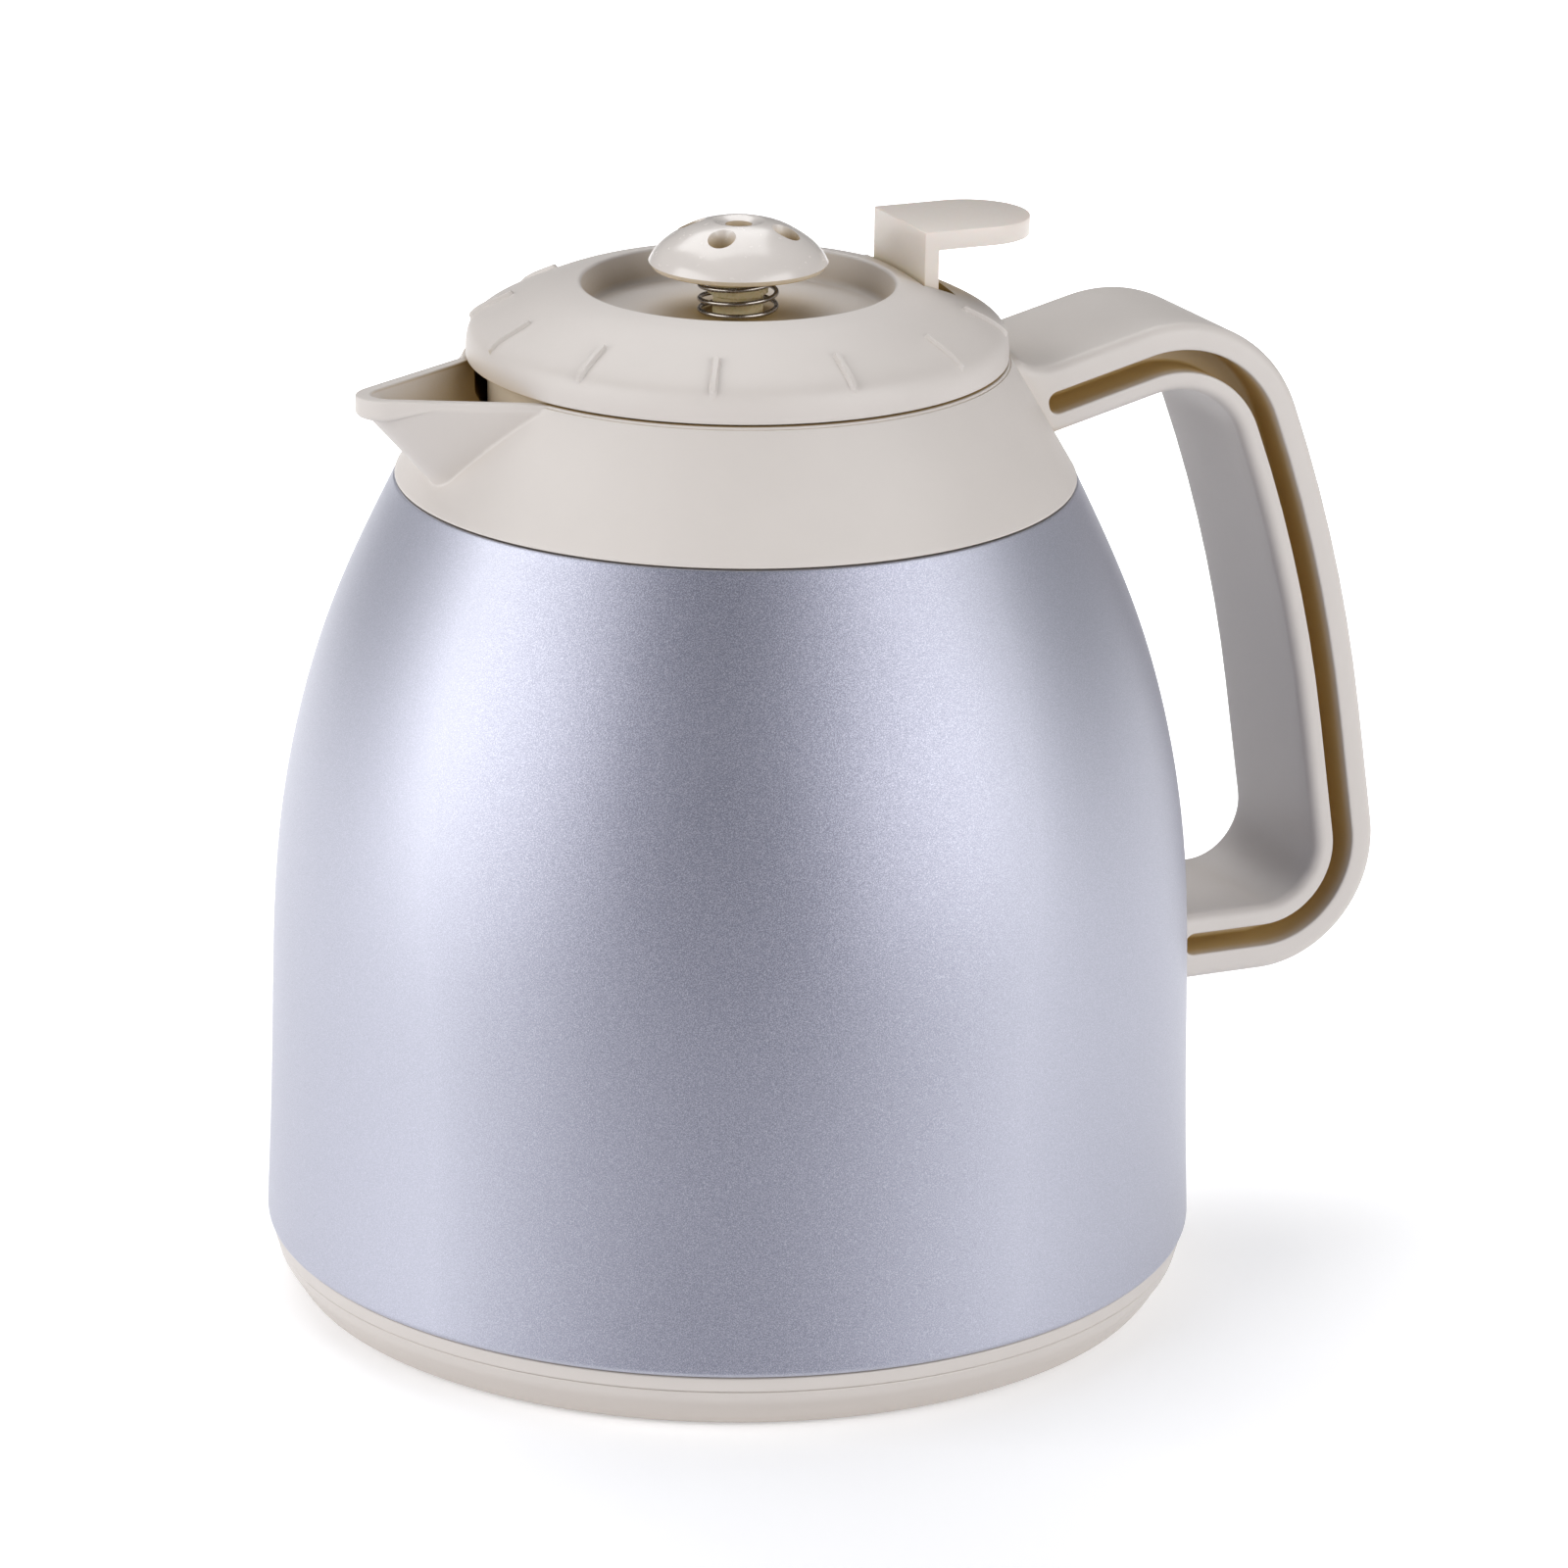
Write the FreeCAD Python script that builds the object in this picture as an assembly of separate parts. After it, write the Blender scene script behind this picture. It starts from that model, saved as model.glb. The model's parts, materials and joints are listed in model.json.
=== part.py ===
import FreeCAD, Part
import math
import os

from FreeCAD import Placement, Rotation, Vector

# Insulated serving jug with a twist-off lid, a sprung brew knob and a thumb lever.
# Millimetres. The origin is the centre of the base, on the surface the jug stands on.
# +Z is up, the handle is on the +X side and the spout is on the -X side.

# Body
SHELL_BOTTOM_Z = 10.0
SHELL_TOP_Z = 133.1
SHELL_WALL = 0.8
SHELL_CURVE = [(75.0, 11.0), (74.2, 32.5), (73.8, 51.2), (72.6, 73.8), (69.5, 92.5), (63.9, 111.2)]
SHELL_TOP_R = 54.0
SHELL_HEM_R = 1.0
SHELL_HEM_IN_R = 71.2
SHELL_FLANGE_R = 51.5

# Collar and spout
COLLAR_BOTTOM_Z = 133.5
COLLAR_TOP_Z = 152.4
COLLAR_BOTTOM_R = 54.0
COLLAR_TOP_R = 42.9
COLLAR_WALL = 2.8
COLLAR_SKIRT_IN_R = 49.4
COLLAR_SKIRT_LOW_Z = 130.6
NECK_R = 39.8
NECK_TOP_R = 41.4
NECK_STEP_Z = 144.5
LEDGE_Z = 137.0
LEDGE_T = 2.6
LEDGE_HOLE_R = 30.5
SPOUT_TIP_X = -65.1
SPOUT_KEEL_ANGLE = 48.0
SPOUT_HALF_ANGLE = 35.7
SPOUT_NOSE_R = 5.7
SPOUT_WALL = 1.6
SPOUT_FLOOR_Z = 141.0
SPOUT_LIP = 3.3
SPOUT_LIP_X = -62.0
SPOUT_LIP_SLOPE = 17.0

# Handle: centre line of the strap in the XZ plane, with its bend radii
HANDLE_LINE = [(44.0, 141.4), (82.6, 150.5), (98.3, 110.1), (108.2, 46.9), (72.0, 47.5)]
HANDLE_BENDS = [18.2, 250.0, 14.3]
HANDLE_OUT = 6.1
HANDLE_IN = 5.0
HANDLE_WIDTH = 28.0
HANDLE_EDGE_R = 1.8
GROOVE_HALF = 1.8
WEB_HALF = 6.0
GROOVE_TOP_X = 50.1
GROOVE_END_X = 78.2
HANDLE_ROOT_R = 4.0
HANDLE_TOP_SCREW_X = 46.9

# Base
BASE_SPLIT_Z = 7.35
BASE_R = 74.0
BASE_THREAD_R = 63.0
FOOT_IN_R = 60.0
FOOT_OUT_R = 66.0

# Vacuum flask
FLASK_CURVE = [(22.0, 11.0), (45.0, 15.5), (61.0, 26.5), (67.0, 44.0), (67.4, 64.0), (65.0, 84.0),
               (57.0, 104.0), (44.5, 119.0), (36.0, 125.0)]
FLASK_NECK_R = 33.5
FLASK_BOTTOM_Z = 10.0
FLASK_RIM_Z = 131.4
GLASS_WALL = 1.5
VACUUM_GAP = 3.2
MOUTH_R = 28.5

# Lid, in a frame where the lever points along +X, then turned by LID_TURN
LID_TURN = -2.0
LID_EDGE_Z = 152.9
LID_WALL = 2.0
LID_R = 42.7
SHOULDER = [(LID_R - 0.05, 155.0), (42.0, 157.2)]
CROWN = [(40.3, 158.7), (37.4, 160.2), (32.8, 162.3), (29.1, 163.6)]
CROWN_INSIDE = [(28.6, 161.5), (33.0, 159.9), (37.0, 157.9), (39.6, 156.2), (40.9, 154.6)]
DISH_RIM_R = 24.7
DISH_RIM_Z = 164.4
DISH_FLOOR_R = 23.8
DISH_FLOOR_Z = 159.3
RIB_COUNT = 11
RIB_STEP = 30.0
RIB_START = 31.5
RIB_IN_R = 36.4
RIB_OUT_R = 41.6
RIB_WIDTH = 1.1
RIB_HEIGHT = 0.35
PLUG_R = 39.3
PLUG_WALL = 2.2
PLUG_BOTTOM_Z = 138.5
PLUG_FLOOR_T = 2.2
WINDOW_HALF = 13.0
WINDOW_TOP_Z = 149.5
WINDOW_STEP_Y = 2.7
SEAT_R = 13.0

# Valve: knob, stem, disc and seal
KNOB_R = 14.1
KNOB_TOP_Z = 174.2
KNOB_DOME = [(KNOB_R, 167.7), (13.5, 168.8), (12.0, 170.5), (10.0, 171.95), (7.5, 173.3), (5.2, 174.0),
             (4.2, KNOB_TOP_Z)]
KNOB_HOLES = 4
KNOB_HOLE_R = 2.2
KNOB_HOLE_RING = 7.8
KNOB_HOLE_START = 47.0
STEM_R = 4.0
STEM_FIT = 0.08
STEM_WIDE_FLATS = 8.9
STEM_STEP_Z = 162.5
FLANGE_R = 10.4
FLANGE_TOP_Z = 148.3
SPRING_R = 6.05
SPRING_WIRE_R = 0.38
SPRING_PITCH = 2.2
SPRING_TOP_Z = 168.6
STEM_BOTTOM_Z = 134.5
STEM_TOP_Z = 170.6

# Thumb lever
PIVOT_X = -22.0
PIVOT_Z = 150.5
PIN_R = 1.25
PIN_FIT = 0.08
LEVER_HALF = 9.7
TINE_IN = 6.7
PLATE_IN_X = 27.7
PLATE_T = 2.5
PAD_TOP_Z = 171.9
PAD_T = 3.0
PAD_END_X = 49.5
LUG_T = 2.5
LUG_GAP = 0.4
SLOT_END_X = 33.0

# Fasteners
SCREW_R = 1.55
SCREW_HEAD_R = 3.2
SCREW_HEAD_T = 1.8
SCREW_LENGTH = 15.0
HANDLE_SCREW_Z = 47.4
BRACKET_IN_R = 71.3
BRACKET_OUT_R = 72.5


def rz(r, z):
    return Vector(r, 0, z)


def polygon(points):
    """Closed face through (r, z) points in the XZ plane."""
    corners = [rz(*p) for p in points]
    return Part.Face(Part.makePolygon(corners + corners[:1]))


def spin(face):
    return face.revolve(Vector(), Vector(0, 0, 1), 360)


def ring(r_in, r_out, z_low, z_high):
    outer = Part.makeCylinder(r_out, z_high - z_low, rz(0, z_low))
    if r_in <= 0:
        return outer
    return outer.cut(Part.makeCylinder(r_in, z_high - z_low, rz(0, z_low)))


def box(low, high):
    size = [b - a for a, b in zip(low, high)]
    return Part.makeBox(*size, Vector(*low))


def cylinder_y(r, x, z, y_low, y_high):
    return Part.makeCylinder(r, y_high - y_low, Vector(x, y_low, z), Vector(0, 1, 0))


def spline(points):
    curve = Part.BSplineCurve()
    curve.interpolate([rz(*p) for p in points])
    return curve


def shifted(points, distance):
    """The same smooth curve, moved inwards along its own normal."""
    curve = spline(points)
    moved = []
    for point in points:
        along = curve.tangent(curve.parameter(rz(*point)))[0]
        moved.append((point[0] - distance * along.z, point[1] + distance * along.x))
    return moved


def curve_face(parts):
    """Closed face from a list of curves and (r, z) points; gaps are closed by straight lines."""
    edges = []
    last = None
    first = None
    for part in parts:
        if isinstance(part, tuple):
            start = end = rz(*part)
        else:
            start = part.value(part.FirstParameter)
            end = part.value(part.LastParameter)
        if last is not None and last.distanceToPoint(start) > 1e-6:
            edges.append(Part.LineSegment(last, start).toShape())
        if not isinstance(part, tuple):
            edges.append(part.toShape())
        first = first or start
        last = end
    if last.distanceToPoint(first) > 1e-6:
        edges.append(Part.LineSegment(last, first).toShape())
    return Part.Face(Part.Wire(edges))


def arc(a, b, c):
    return Part.Arc(rz(*a), rz(*b), rz(*c))


def reverse_spline(points):
    return spline(list(reversed(points)))


def cone_r(z):
    """Outer radius of the collar's cone at height z."""
    share = (z - COLLAR_BOTTOM_Z) / (COLLAR_TOP_Z - COLLAR_BOTTOM_Z)
    return COLLAR_BOTTOM_R + share * (COLLAR_TOP_R - COLLAR_BOTTOM_R)


# ---------------------------------------------------------------- body

def shell_points():
    return SHELL_CURVE + [(SHELL_TOP_R + 0.45, SHELL_TOP_Z - 0.9)]


def make_outer_shell():
    outside = shell_points()
    inside = shifted(outside, SHELL_WALL)
    top = outside[-1]
    face = curve_face([
        spline(outside),
        arc(top, (top[0] - 0.45, SHELL_TOP_Z - 0.15), (top[0] - 1.2, SHELL_TOP_Z)),
        (SHELL_FLANGE_R, SHELL_TOP_Z),
        (SHELL_FLANGE_R, SHELL_TOP_Z - SHELL_WALL),
        (top[0] - 1.4, SHELL_TOP_Z - SHELL_WALL),
        reverse_spline(inside),
        (inside[0][0] - 0.2, SHELL_BOTTOM_Z + SHELL_WALL),
        (SHELL_HEM_IN_R, SHELL_BOTTOM_Z + SHELL_WALL),
        (SHELL_HEM_IN_R, SHELL_BOTTOM_Z),
        (outside[0][0] - SHELL_HEM_R, SHELL_BOTTOM_Z),
        arc((outside[0][0] - SHELL_HEM_R, SHELL_BOTTOM_Z),
            (outside[0][0] - 0.3, SHELL_BOTTOM_Z + 0.3), outside[0]),
    ])
    shell = spin(face)
    screw = Part.makeCylinder(SCREW_R + 0.05, 20, Vector(65, 0, HANDLE_SCREW_Z), Vector(1, 0, 0))
    return shell.cut(screw)


def wedge(nose_r, grow, length=120.0):
    """Spout body: two flat walls with a rounded keel, moved outwards by grow."""
    keel = math.radians(SPOUT_KEEL_ANGLE)
    half = math.radians(SPOUT_HALF_ANGLE)
    along = Vector(-math.cos(keel), 0, math.sin(keel))
    inward = Vector(math.sin(keel), 0, math.cos(keel))
    side = Vector(0, 1, 0)
    tip = Vector(SPOUT_TIP_X, 0, COLLAR_TOP_Z) - inward * grow
    centre = tip + inward * nose_r
    touch = inward * (-nose_r * math.sin(half))
    reach = 60.0
    run = inward * (reach * math.cos(half))

    def on_side(sign, far):
        point = centre + touch + side * (sign * nose_r * math.cos(half))
        if far:
            point = point + run + side * (sign * reach * math.sin(half))
        return point

    edges = [
        Part.LineSegment(on_side(1, True), on_side(1, False)).toShape(),
        Part.Arc(on_side(1, False), tip, on_side(-1, False)).toShape(),
        Part.LineSegment(on_side(-1, False), on_side(-1, True)).toShape(),
        Part.LineSegment(on_side(-1, True), on_side(1, True)).toShape(),
    ]
    face = Part.Face(Part.Wire(edges))
    face.translate(along * (-length * 0.6))
    return face.extrude(along * length)


def spout_lip():
    """Upright band round the spout's tip: the rim's outline, carried down and trimmed by a slope."""
    rim = wedge(SPOUT_NOSE_R, 0.0).slice(Vector(0, 0, 1), COLLAR_TOP_Z)[0]
    band = Part.Face(Part.Wire(rim.Edges)).extrude(Vector(0, 0, -SPOUT_LIP))
    slope = box((0, -60, 0), (40, 60, 20))
    slope.rotate(Vector(), Vector(0, 1, 0), -SPOUT_LIP_SLOPE)
    slope.translate(Vector(SPOUT_LIP_X, 0, COLLAR_TOP_Z - SPOUT_LIP))
    return band.common(slope.fuse(box((-90, -60, 140), (SPOUT_LIP_X, 60, 160))))


def make_collar():
    skirt_r = COLLAR_BOTTOM_R - COLLAR_WALL
    slope = (COLLAR_BOTTOM_R - COLLAR_TOP_R) / (COLLAR_TOP_Z - COLLAR_BOTTOM_Z)
    inner_z = COLLAR_BOTTOM_Z + (skirt_r - COLLAR_SKIRT_IN_R) / slope
    sleeve_r = NECK_R + 2.0
    sleeve_z = COLLAR_BOTTOM_Z + (skirt_r - sleeve_r) / slope
    ledge_low = LEDGE_Z - LEDGE_T
    body = spin(polygon([
        (COLLAR_BOTTOM_R, COLLAR_BOTTOM_Z), (COLLAR_TOP_R, COLLAR_TOP_Z), (NECK_TOP_R, COLLAR_TOP_Z),
        (NECK_TOP_R, NECK_STEP_Z + 3), (NECK_R, NECK_STEP_Z), (NECK_R, LEDGE_Z), (LEDGE_HOLE_R, LEDGE_Z),
        (LEDGE_HOLE_R, ledge_low), (sleeve_r, ledge_low), (sleeve_r, sleeve_z), (COLLAR_SKIRT_IN_R, inner_z),
        (COLLAR_SKIRT_IN_R, COLLAR_SKIRT_LOW_Z), (skirt_r, COLLAR_SKIRT_LOW_Z),
        (skirt_r, COLLAR_BOTTOM_Z),
    ]))
    core = Part.makeCylinder(NECK_R, 60, rz(0, 110))
    cavity = Part.makeCylinder(50.5, 28.5, rz(0, 110))
    below_rim = box((-90, -60, 120), (-36, 60, COLLAR_TOP_Z))
    spout = wedge(SPOUT_NOSE_R, 0.0).common(below_rim).cut(core).cut(cavity)
    collar = body.fuse([spout, spout_lip().cut(core)])
    channel = wedge(SPOUT_NOSE_R - SPOUT_WALL, -SPOUT_WALL)
    channel = channel.common(box((-90, -60, SPOUT_FLOOR_Z), (-34.0, 60, COLLAR_TOP_Z + 5)))
    collar = collar.cut(channel).removeSplitter()
    for tool in (handle_screw(0), handle_screw(0, clearance=True)):
        collar = collar.cut(tool)
    return collar


def centre_line():
    """The handle's centre line: straight legs joined by tangent bends."""
    points = [Vector(x, 0, z) for x, z in HANDLE_LINE]
    edges = []
    start = points[0]
    for index, radius in enumerate(HANDLE_BENDS):
        corner = points[index + 1]
        back = (points[index] - corner).normalize()
        ahead = (points[index + 2] - corner).normalize()
        half = back.getAngle(ahead) / 2
        middle = (back + ahead).normalize()
        a = corner + back * (radius / math.tan(half))
        b = corner + ahead * (radius / math.tan(half))
        summit = corner + middle * (radius / math.sin(half) - radius)
        edges.append(Part.LineSegment(start, a).toShape())
        edges.append(Part.Arc(a, summit, b).toShape())
        start = b
    edges.append(Part.LineSegment(start, points[-1]).toShape())
    return Part.Wire(edges)


def swept_strap(side_low, side_high, inner, outer, edge_r=0.0):
    """Bar that follows the handle's centre line, from a rectangle with rounded corners."""
    (x0, z0), (x1, z1) = HANDLE_LINE[:2]
    along = Vector(x1 - x0, 0, z1 - z0).normalize()
    outwards = Vector(-along.z, 0, along.x)
    origin = Vector(x0, 0, z0)
    corners = [(side_high, outer), (side_low, outer), (side_low, inner), (side_high, inner)]
    points = [origin + Vector(0, y, 0) + outwards * out for y, out in corners]
    section = Part.makePolygon(points + points[:1])
    if edge_r > 0:
        bar = Part.Face(section).extrude(along)
        bar = bar.makeFillet(edge_r, [e for e in bar.Edges if e.Length < 1.0001 and is_along(e, along)])
        section = next(f for f in bar.Faces if f.CenterOfMass.distanceToPoint(
            Part.Face(section).CenterOfMass) < 1e-3).OuterWire
    return centre_line().makePipeShell([section], True, False)


def is_along(edge, direction):
    span = edge.Vertexes[-1].Point - edge.Vertexes[0].Point
    return span.Length > 0.9 and abs(abs(span.normalize().dot(direction)) - 1) < 1e-6


def leg_z(x):
    """Height of the handle's centre line on its straight upper leg."""
    (x0, z0), (x1, z1) = HANDLE_LINE[:2]
    return z0 + (x - x0) * (z1 - z0) / (x1 - x0)


def screw_shape(head, direction, clearance=False):
    """Pan-head screw: head centre at its bearing face, shank along direction."""
    if clearance:
        return Part.makeCylinder(SCREW_HEAD_R + 0.3, 4, head - direction * 4, direction)
    shank = Part.makeCylinder(SCREW_R, SCREW_LENGTH, head, direction)
    top = Part.makeCylinder(SCREW_HEAD_R, SCREW_HEAD_T, head - direction * SCREW_HEAD_T, direction)
    recess = Part.makeBox(3.6, 0.7, 0.9, Vector(-1.8, -0.35, -SCREW_HEAD_T - 0.1))
    cross = recess.fuse(recess.copy().rotate(Vector(), Vector(0, 0, 1), 90))
    cross.Placement = Placement(head, Rotation(Vector(0, 0, 1), direction)).multiply(cross.Placement)
    return shank.fuse(top).cut(cross).removeSplitter()


def handle_screw(which, clearance=False):
    if which == 0:
        (x0, z0), (x1, z1) = HANDLE_LINE[:2]
        along = Vector(x1 - x0, 0, z1 - z0).normalize()
        return screw_shape(Vector(HANDLE_TOP_SCREW_X, 0, leg_z(HANDLE_TOP_SCREW_X)), along, clearance)
    return screw_shape(Vector(BRACKET_IN_R - 0.1, 0, HANDLE_SCREW_Z), Vector(1, 0, 0), clearance)


def handle_groove():
    """Groove down one side of the handle, with a rounded end near each root."""
    depth = HANDLE_WIDTH / 2 + 3
    groove = swept_strap(WEB_HALF, depth, -GROOVE_HALF, GROOVE_HALF)
    upper = box((GROOVE_TOP_X, -30, 90), (140, 30, 200))
    lower = box((GROOVE_END_X, -30, 0), (140, 30, 91))
    top_end = cylinder_y(GROOVE_HALF, GROOVE_TOP_X, leg_z(GROOVE_TOP_X), WEB_HALF, depth)
    low_end = cylinder_y(GROOVE_HALF, GROOVE_END_X, HANDLE_SCREW_Z, WEB_HALF, depth)
    return groove.common(upper.fuse(lower)).fuse([top_end, low_end])


def make_handle():
    half = HANDLE_WIDTH / 2
    strap = swept_strap(-half, half, -HANDLE_IN, HANDLE_OUT, HANDLE_EDGE_R)
    cone = Part.makeCone(COLLAR_BOTTOM_R, COLLAR_TOP_R, COLLAR_TOP_Z - COLLAR_BOTTOM_Z,
                         rz(0, COLLAR_BOTTOM_Z))
    body_core = spin(curve_face([spline(shell_points()), (0, SHELL_TOP_Z), (0, 11.0)]))
    seam = ring(0, SHELL_TOP_R + 0.4, SHELL_TOP_Z - 1, COLLAR_BOTTOM_Z + 0.1)
    handle = blend_root(strap, cone).cut(cone).cut(body_core).cut(seam)
    handle = handle.common(box((30, -half, 0), (130, half, 200)))
    groove = handle_groove()
    handle = handle.cut(groove).cut(groove.mirror(Vector(), Vector(0, 1, 0)))
    for which in (0, 1):
        handle = handle.cut(handle_screw(which))
    return handle.removeSplitter()


def blend_root(strap, cone):
    """Adds the soft concave root where the top of the handle leaves the collar."""
    (x0, z0), (x1, z1) = HANDLE_LINE[:2]
    rise = math.atan2(z1 - z0, x1 - x0)
    top = Vector(x0, 0, z0) + Vector(-math.sin(rise), 0, math.cos(rise)) * HANDLE_OUT
    joined = strap.fuse(cone)
    seam = []
    for edge in joined.Edges:
        middle = edge.valueAt((edge.FirstParameter + edge.LastParameter) / 2)
        above = (middle - top).dot(Vector(-math.sin(rise), 0, math.cos(rise)))
        on_cone = abs(math.hypot(middle.x, middle.y) - cone_r(middle.z)) < 0.05
        if abs(above) < 0.02 and on_cone and abs(middle.y) < 10 and middle.x > 0:
            seam.append(edge)
    if not seam:
        raise RuntimeError("the seam between handle and collar was not found")
    return joined.makeFillet(HANDLE_ROOT_R, seam)


def make_handle_bracket():
    plate = ring(BRACKET_IN_R, BRACKET_OUT_R, HANDLE_SCREW_Z - 9, HANDLE_SCREW_Z + 9)
    plate = plate.common(box((60, -14, 0), (90, 14, 100)))
    hole = Part.makeCylinder(SCREW_R + 0.05, 20, Vector(62, 0, HANDLE_SCREW_Z), Vector(1, 0, 0))
    return plate.cut(hole)


# ---------------------------------------------------------------- base

def make_base_ring():
    return spin(polygon([
        (BASE_R, SHELL_BOTTOM_Z - 0.6), (BASE_R - 0.3, SHELL_BOTTOM_Z - 0.3),
        (70.9, SHELL_BOTTOM_Z - 0.3), (70.9, 17.0), (69.2, 17.0), (69.2, SHELL_BOTTOM_Z - 0.3),
        (BASE_THREAD_R + 2.0, SHELL_BOTTOM_Z - 0.3), (BASE_THREAD_R + 2.0, 17.0),
        (BASE_THREAD_R + 0.1, 17.0), (BASE_THREAD_R + 0.1, BASE_SPLIT_Z),
        (BASE_R - 0.4, BASE_SPLIT_Z),
    ]))


def make_base_cap():
    top = BASE_SPLIT_Z - 0.05
    face = curve_face([
        (BASE_R - 0.55, top),
        arc((BASE_R - 0.4, top - 0.3), (72.6, 4.4), (70.6, 1.1)),
        (69.6, 0.4), (FOOT_OUT_R + 0.4, 0.4), (FOOT_OUT_R, 1.6), (FOOT_IN_R, 1.6),
        (FOOT_IN_R - 0.4, 0.8), (0, 0.8), (0, 3.0), (BASE_THREAD_R - 2.0, 3.0),
        (BASE_THREAD_R - 2.0, 15.0), (BASE_THREAD_R, 15.0), (BASE_THREAD_R, 3.4),
        (69.5, 3.4), (71.4, top),
    ])
    return spin(face)


def make_foot_ring():
    face = polygon([
        (FOOT_IN_R + 0.2, 0.4), (FOOT_IN_R + 0.6, 0.0), (FOOT_OUT_R - 0.6, 0.0),
        (FOOT_OUT_R - 0.2, 0.4), (FOOT_OUT_R - 0.2, 1.6), (FOOT_IN_R + 0.2, 1.6),
    ])
    return spin(face)


# ---------------------------------------------------------------- vacuum flask

def bulb(distance, neck_r, rim_z):
    """Solid bulb whose skin lies a distance inside the outer glass."""
    curve = shifted(FLASK_CURVE, distance)
    bottom = FLASK_BOTTOM_Z + distance
    return spin(curve_face([
        (0, bottom), spline([(0.01, bottom), (11.0, bottom + 0.15)] + curve + [(neck_r, 129.0)]),
        (neck_r, rim_z), (0, rim_z),
    ]))


def make_liner_outer():
    tip = Part.makeCone(1.6, 3.2, 4.0, rz(0, FLASK_BOTTOM_Z - 3.2))
    outer = bulb(0.0, FLASK_NECK_R, FLASK_RIM_Z - GLASS_WALL).fuse(tip)
    return outer.cut(bulb(GLASS_WALL, FLASK_NECK_R - GLASS_WALL, FLASK_RIM_Z + 1)).removeSplitter()


def make_liner_inner():
    step = GLASS_WALL + VACUUM_GAP
    outer = bulb(step, MOUTH_R + GLASS_WALL, FLASK_RIM_Z - GLASS_WALL)
    rim = ring(0, FLASK_NECK_R, FLASK_RIM_Z - GLASS_WALL, FLASK_RIM_Z)
    rim = rim.makeFillet(0.6, [e for e in rim.Edges if e.BoundBox.ZMin > FLASK_RIM_Z - 0.01])
    return outer.fuse(rim).cut(bulb(step + GLASS_WALL, MOUTH_R, FLASK_RIM_Z + 1)).removeSplitter()


def make_liner_spacers():
    widest_r, widest_z = FLASK_CURVE[4]
    low = widest_z - 4.0
    gap = 0.35
    pad = ring(widest_r - GLASS_WALL - VACUUM_GAP + gap, widest_r - GLASS_WALL - gap, low, low + 8.0)
    pads = []
    for turn in range(3):
        slab = box((40, -6, low - 1), (80, 6, low + 9))
        slab.rotate(Vector(), Vector(0, 0, 1), 120 * turn + 60)
        pads.append(pad.common(slab))
    return Part.makeCompound([p.Solids[0] for p in pads])


def make_liner_cushion():
    cup = ring(9.0, 30.0, 3.0, 13.0)
    return cup.cut(bulb(-0.02, FLASK_NECK_R, FLASK_RIM_Z)).removeSplitter()


def make_neck_gasket():
    low = FLASK_RIM_Z
    high = LEDGE_Z - LEDGE_T
    return spin(polygon([
        (MOUTH_R + 0.6, low), (37.0, low), (37.0, high), (LEDGE_HOLE_R + 0.6, high),
        (LEDGE_HOLE_R - 1.0, low + 1.2), (MOUTH_R + 0.6, low + 1.2),
    ]))


# ---------------------------------------------------------------- lid

def crown_face(grow=0.0):
    """Half section of the lid's crown and dish, with its skin lifted by grow."""
    crown = [(r + 0.5 * grow, z + 0.9 * grow) for r, z in CROWN]
    shoulder = [(LID_R + grow, LID_EDGE_Z)] + [(r + grow, z) for r, z in SHOULDER]
    rim = 0.7
    dish_side = [(DISH_RIM_R, DISH_RIM_Z - rim), (DISH_FLOOR_R, DISH_FLOOR_Z + 1.2)]
    floor_low = DISH_FLOOR_Z - LID_WALL
    return curve_face([
        (LID_R - 1.6, LID_EDGE_Z), spline(shoulder + crown + [(DISH_RIM_R + rim, DISH_RIM_Z + grow)]),
        arc((DISH_RIM_R + rim, DISH_RIM_Z + grow), (DISH_RIM_R + 0.2, DISH_RIM_Z - 0.2 + grow),
            dish_side[0]),
        dish_side[1],
        arc(dish_side[1], (DISH_FLOOR_R - 0.35, DISH_FLOOR_Z + 0.35), (DISH_FLOOR_R - 1.2, DISH_FLOOR_Z)),
        (STEM_R + STEM_FIT, DISH_FLOOR_Z),
        (STEM_R + STEM_FIT, 152.0), (6.2, 152.0), (6.2, floor_low), (DISH_FLOOR_R + 1.6, floor_low),
        (DISH_RIM_R + 1.8, 161.6),
        spline(CROWN_INSIDE),
    ])


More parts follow.
